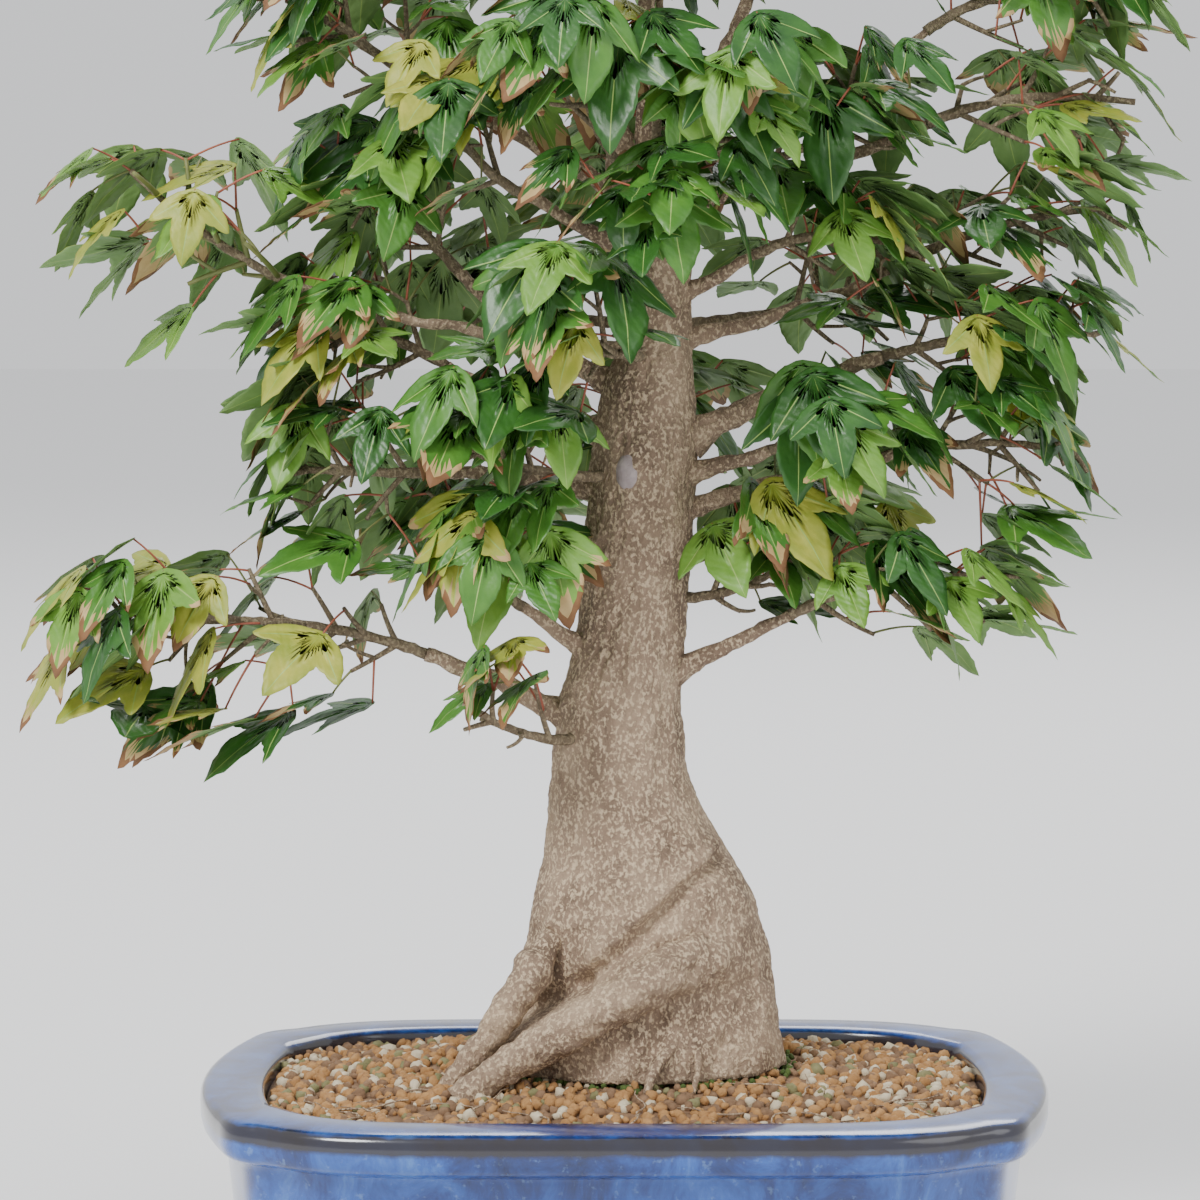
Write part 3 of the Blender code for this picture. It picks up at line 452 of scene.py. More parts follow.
# Trunk: knots as height, compass angle, half-size along and across, and height of the relief
KNOTS = (
    (226, 262, 10, 9, 1.6), (226, 282, 5, 4, 1.2), (87, 306, 9, 11, 3.0), (44, 250, 9, 9, 2.6),
    (56, 216, 9, 9, 2.4), (158, 248, 14, 8, -1.2), (136, 205, 10, 9, 2.4), (64, 330, 13, 16, 2.6),
    (30, 285, 12, 22, -2.2), (18, 232, 12, 14, 2.0), (190, 240, 8, 7, -0.9), (262, 300, 7, 7, 1.2),
)
KNOT_EDGE = 6.0
# Ridges and grooves on the front: ends across and up from the trunk's foot, half-width and relief
FOLDS = (
    ((-60, 2), (-36, 40), 6.5, 7.5), ((-52, 0), (-14, 24), 8.0, 9.5),
    ((-14, 24), (34, 44), 8.0, 5.5), ((-46, 14), (-16, 34), 4.2, -9.0),
    ((-16, 34), (34, 80), 3.4, -5.5), ((-10, 44), (38, 88), 3.4, 3.0),
    ((-12, 30), (30, 56), 2.4, -1.6), ((-30, 60), (10, 66), 2.0, -0.9),
    ((-34, 74), (4, 78), 2.0, -0.8), ((-26, 52), (6, 55), 1.8, -0.8),
    ((14, 30), (52, 34), 2.4, -1.2), ((6, 2), (16, 30), 3.0, -2.4),
    ((-30, 92), (26, 98), 2.2, -0.6), ((30, 4), (44, 26), 3.0, -1.6),
)
FOLDS_TOP, FOLD_EDGE = 112.0, 2.6
TRUNK_SIDES, TRUNK_STEP = 210, 1.7
SEAT_GAP = 0.3
SMOOTHING = 15
# The chopped top's rings: share of the outline and lift, and the height of their lumps
CHOP_RINGS, CHOP_LUMP = ((0.82, 1.6), (0.5, 0.2), (0.2, 1.0)), 2.4


def trunk_surface(height, angle):
    """Root flare and knots: distance added to the trunk's ring at a height and angle."""
    added = 0.0
    for compass, reach, fade, sharpness in ROOTS:
        facing = max(0.0, math.cos(angle - math.radians(compass)))
        added += reach * facing ** sharpness * math.exp(-((height / fade) ** 1.5))
    for at, compass, tall, wide, relief in KNOTS:
        half_width = station(at)[1]
        turn = (angle - math.radians(compass) + math.pi) % (2 * math.pi) - math.pi
        along, across = (height - at) / tall, turn * half_width / wide
        away = along * along + across * across
        if away < KNOT_EDGE:
            added += relief * math.exp(-away) * (1.0 + 0.35 * math.cos(math.sqrt(away) * 7.0))
    return added


def fold_relief(x, y, height):
    """Relief of the folds at a place on the trunk's front half."""
    facing = min(1.0, max(0.0, (FOOT_Y - y) / 12.0))
    if facing == 0.0 or height > FOLDS_TOP:
        return 0.0
    added = 0.0
    for (x0, z0), (x1, z1), wide, relief in FOLDS:
        run_x, run_z = x1 - x0, z1 - z0
        share = ((x - x0) * run_x + (height - z0) * run_z) / (run_x * run_x + run_z * run_z)
        share = min(1.0, max(0.0, share))
        away = math.hypot(x - x0 - run_x * share, height - z0 - run_z * share) / wide
        if away < FOLD_EDGE:
            fade = 0.55 + 0.45 * math.sin(math.pi * (0.12 + 0.76 * share))
            added += relief * math.exp(-away * away) * fade
    return added * facing


def bark_relief(p, height):
    """Lumps, ridges and grain of the bark, the lumps higher towards the trunk's foot."""
    low = min(1.0, max(0.2, (150.0 - height) / 120.0))
    broad = Vector((p.x * 0.045, p.y * 0.045, height * 0.03)) + Vector((3, 1, 2))
    lumps = Vector((p.x * 0.16, p.y * 0.16, height * 0.07))
    ridges = Vector((p.x * 0.3, p.y * 0.3, height * 0.11)) + Vector((9, 4, 1))
    added = 2.3 * low * noise.noise(broad) + (0.8 + 0.5 * low) * noise.noise(lumps)
    return added + 0.75 - 1.5 * abs(noise.noise(ridges)) + 0.35 * noise.noise(p * 0.8)


def trunk_mesh(builder):
    heights = np.arange(0.0, TRUNK_HEIGHT + 0.01, TRUNK_STEP)
    window = np.hanning(SMOOTHING)
    window /= window.sum()
    padded = [np.pad(each, SMOOTHING // 2, mode="edge") for each in station(heights)]
    smooth = [np.convolve(each, window, mode="valid") for each in padded]
    points = []
    for h, centre, half_width, half_depth in zip(heights, *smooth):
        for i in range(TRUNK_SIDES):
            angle = 2 * math.pi * i / TRUNK_SIDES
            x, y = half_width * math.cos(angle), half_depth * math.sin(angle)
            added = trunk_surface(h, angle) + fold_relief(centre + x, FOOT_Y + y, h)
            added += bark_relief(Vector((x, y, h)), h)
            points.append((FOOT_X + centre + (half_width + added) * math.cos(angle),
                           FOOT_Y + (half_depth + added) * math.sin(angle), SEAT + SEAT_GAP + h))
    top = np.array(points[-TRUNK_SIDES:])
    middle = top.mean(0)
    for share, lift in CHOP_RINGS:
        ring = middle + (top - middle) * share
        ring[:, 2] += [lift + CHOP_LUMP * noise.noise(Vector(p) * 0.25) for p in ring]
        points.extend(ring)
    points += [middle + (0, 0, 1), from_foot((3, 0, SEAT_GAP))]
    count = len(heights) + len(CHOP_RINGS)
    last, hub = (count - 1) * TRUNK_SIDES, count * TRUNK_SIDES
    sides = grid_faces(count, TRUNK_SIDES)
    cap, base = fan_faces(hub, last, TRUNK_SIDES), fan_faces(hub + 1, 0, TRUNK_SIDES, False)
    kinds = np.zeros(len(sides) + len(cap) + len(base), int)
    kinds[len(sides) - len(CHOP_RINGS) * 2 * TRUNK_SIDES:len(sides) + len(cap)] = 1
    builder.add(points, np.concatenate([sides, cap, base]), kinds)


def trunk_socket(height, toward):
    """The place on the trunk's surface at a height that faces a point, and the way out from it."""
    centre, half_width, half_depth = station(height)
    middle = from_foot((centre, 0.0, height))
    heading = np.array((toward[0] - middle[0], toward[1] - middle[1], 0.0))
    heading /= np.linalg.norm(heading)
    radius = 1.0 / math.sqrt((heading[0] / half_width) ** 2 + (heading[1] / half_depth) ** 2)
    return middle + heading * radius, heading


# Boughs

BOUGH_SIDES, BOUGH_ROUGHNESS = 16, 0.3
BOUGH_STEP, BOUGH_OVERLAP = 2.5, 3.0
BOUGH_WANDER = 2.0


def make_boughs(builder):
    """Makes each bough, and returns the place and heading of every tip."""
    tips = {}
    for number, (name, row) in enumerate(BOUGHS.items()):
        height, tip, arch, foot_radius, tip_radius = row
        end = from_foot(tip)
        if name in LEADER_FEET:
            start = from_foot((*LEADER_FEET[name], TRUNK_HEIGHT))
            normal = np.array((0.0, 0.0, 1.0))
        else:
            start, normal = trunk_socket(height, end)
        span = np.linalg.norm(end - start)
        middle = (start + end) / 2 + np.array((0, 0, arch)) + normal * (span * 0.06)
        steps = max(14, int(span / BOUGH_STEP))
        path = bezier(start - normal * BOUGH_OVERLAP, middle, end, steps)
        share = np.linspace(0, 1, steps + 1)
        run = share * span
        wander = noise_rows(run, number, (0, 5, 9), 0.06)
        path = path + wander * BOUGH_WANDER * np.sin(math.pi * share)[:, None]
        radii = foot_radius + (tip_radius - foot_radius) * share ** 0.7
        collar = 1 + 0.75 * np.exp(-run / 4.5)
        radii = radii * collar + 0.35 * noise_rows(run, number, (2,), 0.16)[:, 0]
        tube(builder, path, radii, BOUGH_SIDES, 0, BOUGH_ROUGHNESS, number * 3.1)
        heading = path[-1] - path[-3]
        tips[name] = (end, heading / np.linalg.norm(heading))
    return tips


# Roots that lie on the trunk's foot: places along each one, and its radius at both ends
BIG_ROOTS = (
    (((-26, -4, 52), (-40, -14, 30), (-53, -18, 12), (-66, -17, -5)), (8.0, 4.2)),
    (((30, -8, 50), (8, -22, 36), (-22, -28, 20), (-44, -30, 7), (-62, -33, -5)), (10.5, 5.5)),
    (((-20, 52, 26), (-34, 66, 8), (-44, 74, -5)), (9.0, 5.0)),
    (((34, 50, 24), (46, 62, 8), (56, 70, -5)), (9.0, 5.0)),
)
ROOT_STEPS, ROOT_SIDES, ROOT_ROUGHNESS = 44, 32, 0.22


def curve_through(places, steps):
    """Points of a smooth curve through the places."""
    places = np.array(places, float)
    knots = np.linspace(0, 1, len(places))
    fine = np.linspace(0, 1, steps)
    path = np.column_stack([np.interp(fine, knots, places[:, k]) for k in range(3)])
    for _ in range(6):
        path[1:-1] = (path[:-2] + 2 * path[1:-1] + path[2:]) / 4
    return path


def make_roots(builder):
    for number, (places, (thick, thin)) in enumerate(BIG_ROOTS):
        path = curve_through(places, ROOT_STEPS) + (FOOT_X, 0.0, SEAT)
        share = np.linspace(0, 1, len(path))
        radii = thick + (thin - thick) * share
        radii = radii * np.minimum(1.0, 0.45 + 3.0 * share)
        radii = radii + 0.7 * noise_rows(share, number, (4,), 9)[:, 0]
        tube(builder, path, radii, ROOT_SIDES, 0, ROOT_ROUGHNESS, number * 2.7)


# Healed cut on the front of the trunk
CUT_MIDDLE = (FOOT_X + 2.0, FOOT_Y - 16.2, SEAT + 224.0)
CUT_RADIUS, CUT_HALF_HEIGHT = 5.6, 8.0


def make_healed_cut():
    builder = Builder()
    rise = np.linspace(-1, 1, 19)
    path = [(*CUT_MIDDLE[:2], CUT_MIDDLE[2] + CUT_HALF_HEIGHT * r) for r in rise]
    radii = CUT_RADIUS * np.sqrt(np.clip(1.02 - rise ** 2, 0.02, 1.0))
    tube(builder, path, radii, 28, 0, 0.12)
    paste = grain_material("wound_paste", (0.3, 0.24, 0.24), (0.46, 0.39, 0.38))
    builder.finish("healed_cut", [paste], "bark")


# Leaves: one side of the outline for a leaf one unit long, from the stalk round to the tip
HALF_OUTLINE = (
    (-0.02, 0.03), (0.02, 0.14), (0.1, 0.27), (0.22, 0.38), (0.35, 0.46), (0.5, 0.53),
    (0.465, 0.42), (0.42, 0.31), (0.4, 0.2), (0.5, 0.205), (0.62, 0.195), (0.74, 0.15),
    (0.87, 0.08), (1.0, 0.0),
)
HUB = np.array((0.05, 0.0))
LATERAL_TIP = 5
RING_SHARES = (0.34, 0.66, 0.88, 1.0)
TEETH = 0.011
VEIN_WIDTH = 0.0125
VEIN_ROOM = 0.014
TEMPLATE_COUNT = 14
THICKNESS = 0.28
PUFF, PUFF_ANGLE = 0.03, math.radians(50.0)
RIPPLE = 0.018


def leaf_outline(chance):
    """Outline points with teeth, and for each point the side it lies on where it flanks a vein."""
    half = np.array(HALF_OUTLINE)
    half[2:9, 1] *= chance.uniform(0.88, 1.08)
    half[LATERAL_TIP] += chance.uniform(-0.05, 0.04, 2)
    points, flank = [], []
    for i in range(len(half) - 1):
        sides = (1, -1) if i == LATERAL_TIP else (0,)
        points += [half[i]] * len(sides)
        flank += sides
        run = half[i + 1] - half[i]
        middle = half[i] + run / 2
        if i > 0:
            middle = middle + np.array((-run[1], run[0])) / (np.linalg.norm(run) + 1e-9) * TEETH
        points.append(middle)
        flank.append(0)
    points.append(half[-1])
    flank.append(1)
    left = [(x, y) for x, y in points]
    right = [(x, -y) for x, y in reversed(points)]
    return np.array(left + right), np.array(flank + [-f for f in reversed(flank)])


class Template:
    """Flat leaf of rings around the place where its three main veins meet."""

    def __init__(self, number):
        chance = np.random.default_rng([SEED, 900, number])
        outline, flank = leaf_outline(chance)
        self.count = len(outline)
        rings = []
        for share in RING_SHARES:
            ring = HUB + (outline - HUB) * share
            width = min(VEIN_WIDTH * (1.1 - share), VEIN_ROOM * share)
            for i in np.nonzero(flank)[0]:
                line = outline[i] - HUB
                normal = np.array((-line[1], line[0])) / np.linalg.norm(line)
                ring[i] += normal * flank[i] * width
            rings.append(ring)
        self.plan = np.vstack(rings + [HUB])
        self.share = np.append(np.repeat(RING_SHARES, self.count), 0.0)
        hub = len(RING_SHARES) * self.count
        # The fan round the hub is wound against the rings
        self.faces = np.concatenate([grid_faces(len(RING_SHARES), self.count),
                                     fan_faces(hub, 0, self.count)])
        between = np.append((flank[:-1] != 0) & (flank[1:] != 0), False)
        self.vein = np.append(np.tile(np.repeat(between, 2), len(RING_SHARES) - 1), between)
        self.middle = self.plan[self.faces].mean(1)
        self.outer = self.share[self.faces].mean(1)


TEMPLATES = [Template(n) for n in range(TEMPLATE_COUNT)]


def shape_leaf(template, length, curl, fold, twist, wave):
    """Points of the leaf's upper and lower side, with the blade bent by its curl and fold."""
    x, y = template.plan[:, 0], template.plan[:, 1]
    turn = np.arctan2(y, x - HUB[0])
    away = np.hypot(x, y)
    puff = PUFF * away * (1 - np.cos(turn * 2 * math.pi / PUFF_ANGLE)) / 2
    z = -curl * x ** 2 - fold * np.abs(y) ** 1.5 + puff + twist * x * y
    z = z + RIPPLE * away * np.sin(x * 19 + wave) * np.sin(y * 17 + wave * 1.7)
    bent_x = x * (1 - 0.35 * curl * x)
    top = np.stack([bent_x, y * (1 - 0.25 * fold), z], 1) * length
    lower = top.copy()
    lower[:, 2] -= THICKNESS * np.clip(1.15 - template.share, 0.25, 1.0)
    return top, lower


def leaf_frame(base, stalk, droop, roll):
    """The leaf's own axes: along its midrib, across it and up from its face."""
    outward = np.array((base[0] - FOOT_X, base[1] - FOOT_Y, 0.0))
    size = np.linalg.norm(outward)
    outward = outward / size if size > 1.0 else np.array((0.0, -1.0, 0.0))
    heading = np.array((stalk[0], stalk[1], 0.0)) * 1.1 + outward * 0.6
    size = np.linalg.norm(heading)
    heading = heading / size if size > 0.05 else outward
    midrib = heading * math.cos(droop) + np.array((0, 0, -math.sin(droop)))
    across = np.cross(midrib, (0.0, 0.0, 1.0))
    across /= np.linalg.norm(across)
    up = np.cross(across, midrib)
    rolled = across * math.cos(roll) + up * math.sin(roll)
    return midrib, rolled, np.cross(rolled, midrib)


# Crown

BOX_MARGIN = 7.0
BOX_LOW = (np.array(CAD_BOX[0]) - np.array(SHIFT)) / MM - BOX_MARGIN
BOX_HIGH = (np.array(CAD_BOX[1]) - np.array(SHIFT)) / MM + BOX_MARGIN
BRANCH_ANGLE = math.radians(52.0)
STEM_STEP, STEM_RADII = 13.0, (2.2, 1.15)
# Twigs of the first and second order: radii, share of the room they fill and shortest length
TWIG_RADII, TWIG_SHARES, TWIG_SHORTEST = ((1.25, 0.8), (0.85, 0.6)), (1.0, 0.6), (11.0, 7.0)
TWIG_STEPS, STALK_STEPS = 6, 5
FORK_CHANCE, TRIES = 0.6, 4
STALK_RADII, GREEN_STALKS = (0.5, 0.38), 0.3
# Leaves: how many stand for one in the solids, the gap between their middles, and their ranges
LEAF_SHARE, LEAF_GAP = 2.1, 9.0
STALK_LENGTHS, LEAF_LENGTHS = (10.0, 26.0), (29.0, 49.0)
DROOPS, ROLLS = (2.0, 66.0), (-30.0, 30.0)
CURLS, CREASES, TWISTS, WAVES = (0.0, 0.22), (-0.08, 0.2), (-0.2, 0.2), (0, 6.0)
TRUNK_CLEARANCE, CLEAR_ABOVE = 9, 350
BODY_CHANCES = (0.36, 0.42, 0.22)


class Crown:
    """Everything that grows: twigs, stalks and leaves, gathered by kind."""

    def __init__(self):
        self.twigs, self.stalks = Builder(), Builder()
        self.blades = {side: Builder() for side in ("left", "right", "top", "back")}
        self.centres = []
        self.leaves = 0

    def room_for(self, centre):
        away = np.linalg.norm(np.array(self.centres).reshape(-1, 3) - centre, axis=1)
        if (away < LEAF_GAP).any():
            return False
        self.centres.append(centre)
        return True


def side_of(name):
    """The piece that a mass's leaves go to: those at the front join the top."""
    side = name.split("_")[0]
    return "top" if side == "front" else side


class Mass:
    """One mass of foliage, grown by a seeded rule inside its ellipsoid."""

    def __init__(self, name, number, crown, tips):
        self.name, self.crown = name, crown
        centre, half, quota = FOLIAGE[name]
        carrier = CARRIERS.get(name, name if name in BOUGHS else "trunk")
        self.centre, self.half = from_foot(centre), np.array(half, float)
        self.quota = int(round(quota * LEAF_SHARE))
        self.random = np.random.default_rng([SEED, number])
        if carrier == "trunk":
            height = min(max(centre[2] - 12.0, 120.0), 334.0)
            self.start, self.heading = trunk_socket(height, self.centre)
            self.start = self.start - self.heading * 2.0
        else:
            self.start, self.heading = tips[carrier]
        self.buds = []

    def inside(self, point, slack):
        return float((((point - self.centre) / self.half) ** 2).sum()) <= slack ** 2

    def reach(self, point, direction, limit):
        """How far a twig can run from a point before it leaves the mass."""
        run = 0.0
        while run < limit and self.inside(point + direction * (run + 2.0), 0.9):
            run += 2.0
        return run

    def grow(self):
        toward = (self.centre - self.start) / np.linalg.norm(self.centre - self.start)
        run = self.reach(self.centre, toward, 200.0)
        end = self.centre + toward * (run * 0.72)
        span = np.linalg.norm(end - self.start)
        steps = max(4, int(round(span / STEM_STEP)))
        middle = self.start + self.heading * (span * 0.45)
        path = bezier(self.start, middle, end, steps)
        fine = bezier(self.start, middle, end, max(16, int(span / 3)))
        fine = fine + noise_rows(range(len(fine)), self.centre[0], (0, 7, 3), 1.3) * 0.8
        tube(self.crown.twigs, fine, np.linspace(*STEM_RADII, len(fine)), 9, 0, 0.25)
        frames = frames_along(path)
        tangents = np.gradient(path, axis=0)
        for i in range(1, steps + 1):
            if not self.inside(path[i], 1.0):
                continue
            tangent = tangents[i] / np.linalg.norm(tangents[i])
            turn = math.radians(90.0 * i + self.random.uniform(-25, 25))
            for sign in (0.0, math.pi):
                self.twig(path[i], self.branch(tangent, frames[i], turn + sign), 0)
            if i == steps:
                self.twig(path[i] - tangent, tangent, 0)
        self.leaf_out()

    def branch(self, direction, sides, angle):
        """A heading that leaves a direction at the branch angle, turned round it by an angle."""
        side, other = sides
        spread = side * math.cos(angle) + other * math.sin(angle)
        return direction * math.cos(BRANCH_ANGLE) + spread * math.sin(BRANCH_ANGLE)

    def twig(self, point, direction, order):
        """A twig with pairs of buds, which carries finer twigs where there is room."""
        direction = direction / np.linalg.norm(direction)
        room = self.reach(point, direction, 40.0)
        length = room * self.random.uniform(0.5, 0.78) * TWIG_SHARES[order]
        if length < TWIG_SHORTEST[order]:
            self.buds.append((point, direction))
            return
        aim = direction + (self.random.uniform(-0.14, 0.14, 3) + np.array((0, 0, 0.08)))
        end = point + aim / np.linalg.norm(aim) * length
        middle = (point + end) / 2 + self.random.uniform(-1.3, 1.3, 3)
        path = bezier(point - direction * 0.6, middle, end, TWIG_STEPS)
        radii = np.linspace(*TWIG_RADII[order], TWIG_STEPS + 1)
        tube(self.crown.twigs, path, radii, 7, int(self.name == "left_shoot"))
        sides = frames_along(path)[0]
        turn = self.random.uniform(0, math.pi)
        for k, share in enumerate((0.5, 0.96) if length > 20.0 else (0.94,)):
            place = point + (end - point) * share
            for sign in (0.0, math.pi):
                heading = self.branch(direction, sides, turn + sign + math.pi / 2 * k)
                if order == 0 and k == 0 and self.random.random() < FORK_CHANCE:
                    self.twig(place, heading, 1)
                else:
                    self.buds.append((place, heading))
        self.buds.append((end, direction))

    def leaf_out(self):
        done = 0
        for turn in range(3):
            for pick in self.random.permutation(len(self.buds)):
                if done >= self.quota:
                    return
                point, direction = self.buds[pick]
                for _ in range(TRIES):
                    if self.leaf(point, direction, 0.35 + 0.4 * turn):
                        done += 1
                        break

    def has_room(self, base, midrib, length, top):
        """Whether a leaf stays in the box and the mass, and clear of the trunk and other leaves."""
        if (top.min(0) < BOX_LOW).any() or (top.max(0) > BOX_HIGH).any():
            return False
        centre = base + midrib * (length * 0.45)
        if not self.inside(centre, 1.2) or not self.inside(base + midrib * length, 1.42):
            return False
        heart, half_width, half_depth = station(min(max(centre[2] - SEAT, 0.0), TRUNK_HEIGHT))
        away = math.hypot((centre[0] - FOOT_X - heart) / (half_width + TRUNK_CLEARANCE),
                          (centre[1] - FOOT_Y) / (half_depth + TRUNK_CLEARANCE))
        if away < 1.0 and centre[2] < SEAT + CLEAR_ABOVE:
            return False
        return self.crown.room_for(centre)

    def leaf(self, point, direction, spread):
        """Tries one leaf on a bud, and says whether it was made."""
        chance = self.random
        stalk = direction + chance.uniform(-spread, spread, 3)
        stalk /= np.linalg.norm(stalk)
        stalk_length = chance.uniform(*STALK_LENGTHS)
        droop = math.radians(chance.uniform(*DROOPS))
        roll = math.radians(chance.uniform(*ROLLS))
        length = chance.uniform(*LEAF_LENGTHS)
        base = point + stalk * stalk_length + np.array((0, 0, -0.06 * stalk_length))
        axes = np.stack(leaf_frame(base, stalk, droop, roll))
        template = TEMPLATES[int(chance.integers(len(TEMPLATES)))]
        bends = [chance.uniform(*each) for each in (CURLS, CREASES, TWISTS, WAVES)]
        top, lower = (base + side @ axes for side in shape_leaf(template, length, *bends))
        if not self.has_room(base, axes[0], length, top):
            return False
        bend = point + stalk * (stalk_length * 0.55) + np.array((0, 0, 0.05 * stalk_length))
        path = bezier(point - stalk * 0.4, bend, base, STALK_STEPS)
        radii = np.linspace(*STALK_RADII, STALK_STEPS + 1)
        tube(self.crown.stalks, path, radii, 6, int(chance.random() < GREEN_STALKS))
        self.paint(template, top, lower)
        return True

    def paint(self, template, top, lower):
        """Deals plain colours out by face: body, veins and, on some leaves, dead tips."""
        chance = self.random
        low_left = self.name in ("left_low", "left_low_spur")
        yellow = 0.34 if low_left else 0.1 if self.name.startswith("left") else 0.05
        burnt = chance.random() < (0.6 if low_left else 0.24)
        kind = YELLOW if chance.random() < yellow else int(chance.choice(3, p=BODY_CHANCES))
        if self.name == "left_shoot":
            kind = LIGHT if chance.random() < 0.7 else YELLOW
        count = len(template.faces)
        body, under = np.full(count, kind), np.full(count, UNDER)
        body[template.vein] = VEIN
        under[template.vein] = VEIN
        if burnt:
            reach = chance.uniform(0.25, 0.75)
            tips = template.middle[:, 0] + np.abs(template.middle[:, 1]) * 0.85
            dead = (template.outer > 0.86) & (tips > 1.0 - 0.35 * reach)
            dead |= tips > 1.06 - 0.22 * reach
            edge = (template.outer > 0.7) & (tips > 0.86 - 0.3 * reach) & ~dead
            patchy = np.repeat(chance.random(count // 2 + 1) < 0.7, 2)[:count]
            body[edge & patchy] = TAN
            under[edge] = TAN
            body[dead] = BROWN
            under[dead] = BROWN
        size = len(top)
        a = (len(RING_SHARES) - 1) * template.count + np.arange(template.count)
        b = np.roll(a, -1)
        around = np.stack([a, b + size, b, a, a + size, b + size], 1).reshape(-1, 3)
        faces = np.concatenate([template.faces[:, ::-1], template.faces + size, around])
        kinds = np.concatenate([body, under, np.full(len(around), BROWN if burnt else kind)])
        self.crown.blades[side_of(self.name)].add(np.vstack([top, lower]), faces, kinds,
                                                  np.vstack([template.plan, template.plan]))
        self.crown.leaves += 1


# Pot: half-sizes of the rim, and the two ends of a corner's ridge
POT_HALF_WIDTH, POT_HALF_DEPTH = 158.0, 109.0
NOTCH, RIDGE, BULGE = (131.0, 89.5), (146.5, 71.5), 2.6
# The wall's section from the underside over the flange and inside: drop below the rim and inset
POT_PROFILE = (
    (83.8, 19.6), (82.5, 18.6), (70, 16.2), (50, 12.8), (34, 11), (20, 9.6), (17.4, 8.9),
    (16.6, 7.6), (15.6, 4), (14.2, 1.9), (12.6, 0.7), (10, 0.1), (6, 0), (3.2, 0.2), (1.6, 0.9),
    (0.6, 2.2), (0, 4), (-0.4, 12), (-0.5, 20), (0.2, 22.6), (1.6, 23.8), (4, 24.2), (12, 24.8),
)
FOOT_OUTER, FOOT_INNER = 20.4, 32.0
FOOT_SPAN = slice(6, 30)
# A foot's rings: height, and how far its outer face stands out
FOOT_RINGS = ((0.0, 0.0), (0.9, 0.7), (9.5, 0.7))


def pot_outline(inset, lobed):
    """Smooth plan of the rim, inset from its edge, with a lobed corner that comes to a ridge."""
    half_width, half_depth, shift = POT_HALF_WIDTH - inset, POT_HALF_DEPTH - inset, inset * 0.75
    notch, ridge = np.array(NOTCH) - shift, np.array(RIDGE) - shift
    quarter = []
    for share in np.linspace(0, 1, 17):
        quarter.append((notch[0] * share, half_depth - (half_depth - notch[1]) * share ** 6))
    for share in np.linspace(0, 1, 11)[1:-1]:
        bulge = BULGE * lobed * math.sin(math.pi * share)
        quarter.append(tuple(notch + (ridge - notch) * share + bulge))
    for share in np.linspace(1, 0, 13):
        quarter.append((half_width - (half_width - ridge[0]) * share ** 2, ridge[1] * share))
    parts = [np.array(quarter)[::-1]]
    for mirror in ((-1, 1), (1, -1), (-1, 1)):
        parts.append(parts[-1][::-1][1:] * mirror)
    return np.concatenate(parts)[:-1]


def level_ring(plan, height):
    return np.column_stack([plan, np.full(len(plan), height)])


def add_stack(builder, rings):
    """A closed body of rings, with a cap on the first and the last."""
    count = len(rings[0])
    last, hub = (len(rings) - 1) * count, len(rings) * count
    points = np.vstack(rings + [rings[0].mean(0), rings[-1].mean(0)])
    builder.add(points, np.concatenate([grid_faces(len(rings), count),
                                        fan_faces(hub, 0, count, False),
                                        fan_faces(hub + 1, last, count)]))


def add_pot_foot(builder, mirror):
    rings = []
    for height, grown in FOOT_RINGS:
        outer = pot_outline(FOOT_OUTER - grown, 1.0)[FOOT_SPAN]
        inner = pot_outline(FOOT_INNER, 1.0)[FOOT_SPAN]
        ring = level_ring(np.concatenate([outer, inner[::-1]]) * mirror, height)
        rings.append(ring if mirror[0] * mirror[1] > 0 else ring[::-1])
    size = len(rings[0])
    top = (len(rings) - 1) * size
    caps = []
    for i in range(size // 2 - 1):
        a, b, c, d = i, i + 1, size - 2 - i, size - 1 - i
        caps += [(a, d, c), (a, c, b)]
        a, b, c, d = (v + top for v in (a, b, c, d))
        caps += [(a, c, d), (a, b, c)]
    faces = np.concatenate([grid_faces(len(rings), size), np.array(caps)])
    builder.add(np.concatenate(rings), faces)


def make_pot():
    builder = Builder()
    rings = []
    for drop, inset in POT_PROFILE:
        plan = pot_outline(inset, max(0.0, min(1.0, (22.0 - inset) / 6.0)))
        rings.append(level_ring(plan, RIM - drop))
    add_stack(builder, rings)
    for mirror in ((1, 1), (-1, 1), (-1, -1), (1, -1)):
        add_pot_foot(builder, mirror)
    made = builder.finish("glazed_pot", [GLAZE], "pot", ["pot"])
    made.data.set_sharp_from_angle(angle=math.radians(44.0))


# Soil

BED_INSETS, BED_BOTTOM = (24.9, 30, 38, 48, 60, 74, 88, 100), 30.0
GRAIN_COUNT, GRAIN_SHAPES, GRAIN_SIZES = 2900, 20, (1.3, 3.0)
GRAIN_CHANCES = (0.52, 0.25, 0.16, 0.07)
FINE_ROOTS, FINE_ROOT_POINTS, FINE_ROOT_STEP = 26, 9, 3.4
# Roots that leave the trunk's front: start, bend, end, steps, radius at both ends and sides
FRONT_ROOTS = (
    ((20, -20, 108), (10, -31, 102), (8, -38, 92), 14, (2.6, 1.6), 12),
    ((27, -18, 107), (28, -28, 100), (25, -34, 91.5), 12, (1.5, 1.0), 10),
)


def soil_height(x, y):
    share = max(abs(x) / 133.0, abs(y) / 84.0)
    near = math.hypot((x + 2.0) / 74.0, (y - 17.0) / 56.0)
    mound = 1.0 - min(1.0, max(0.0, (near - 0.9) / 0.75))
    return RIM - 5.5 + 6.3 * mound - 2.0 * max(0.0, share - 0.9)


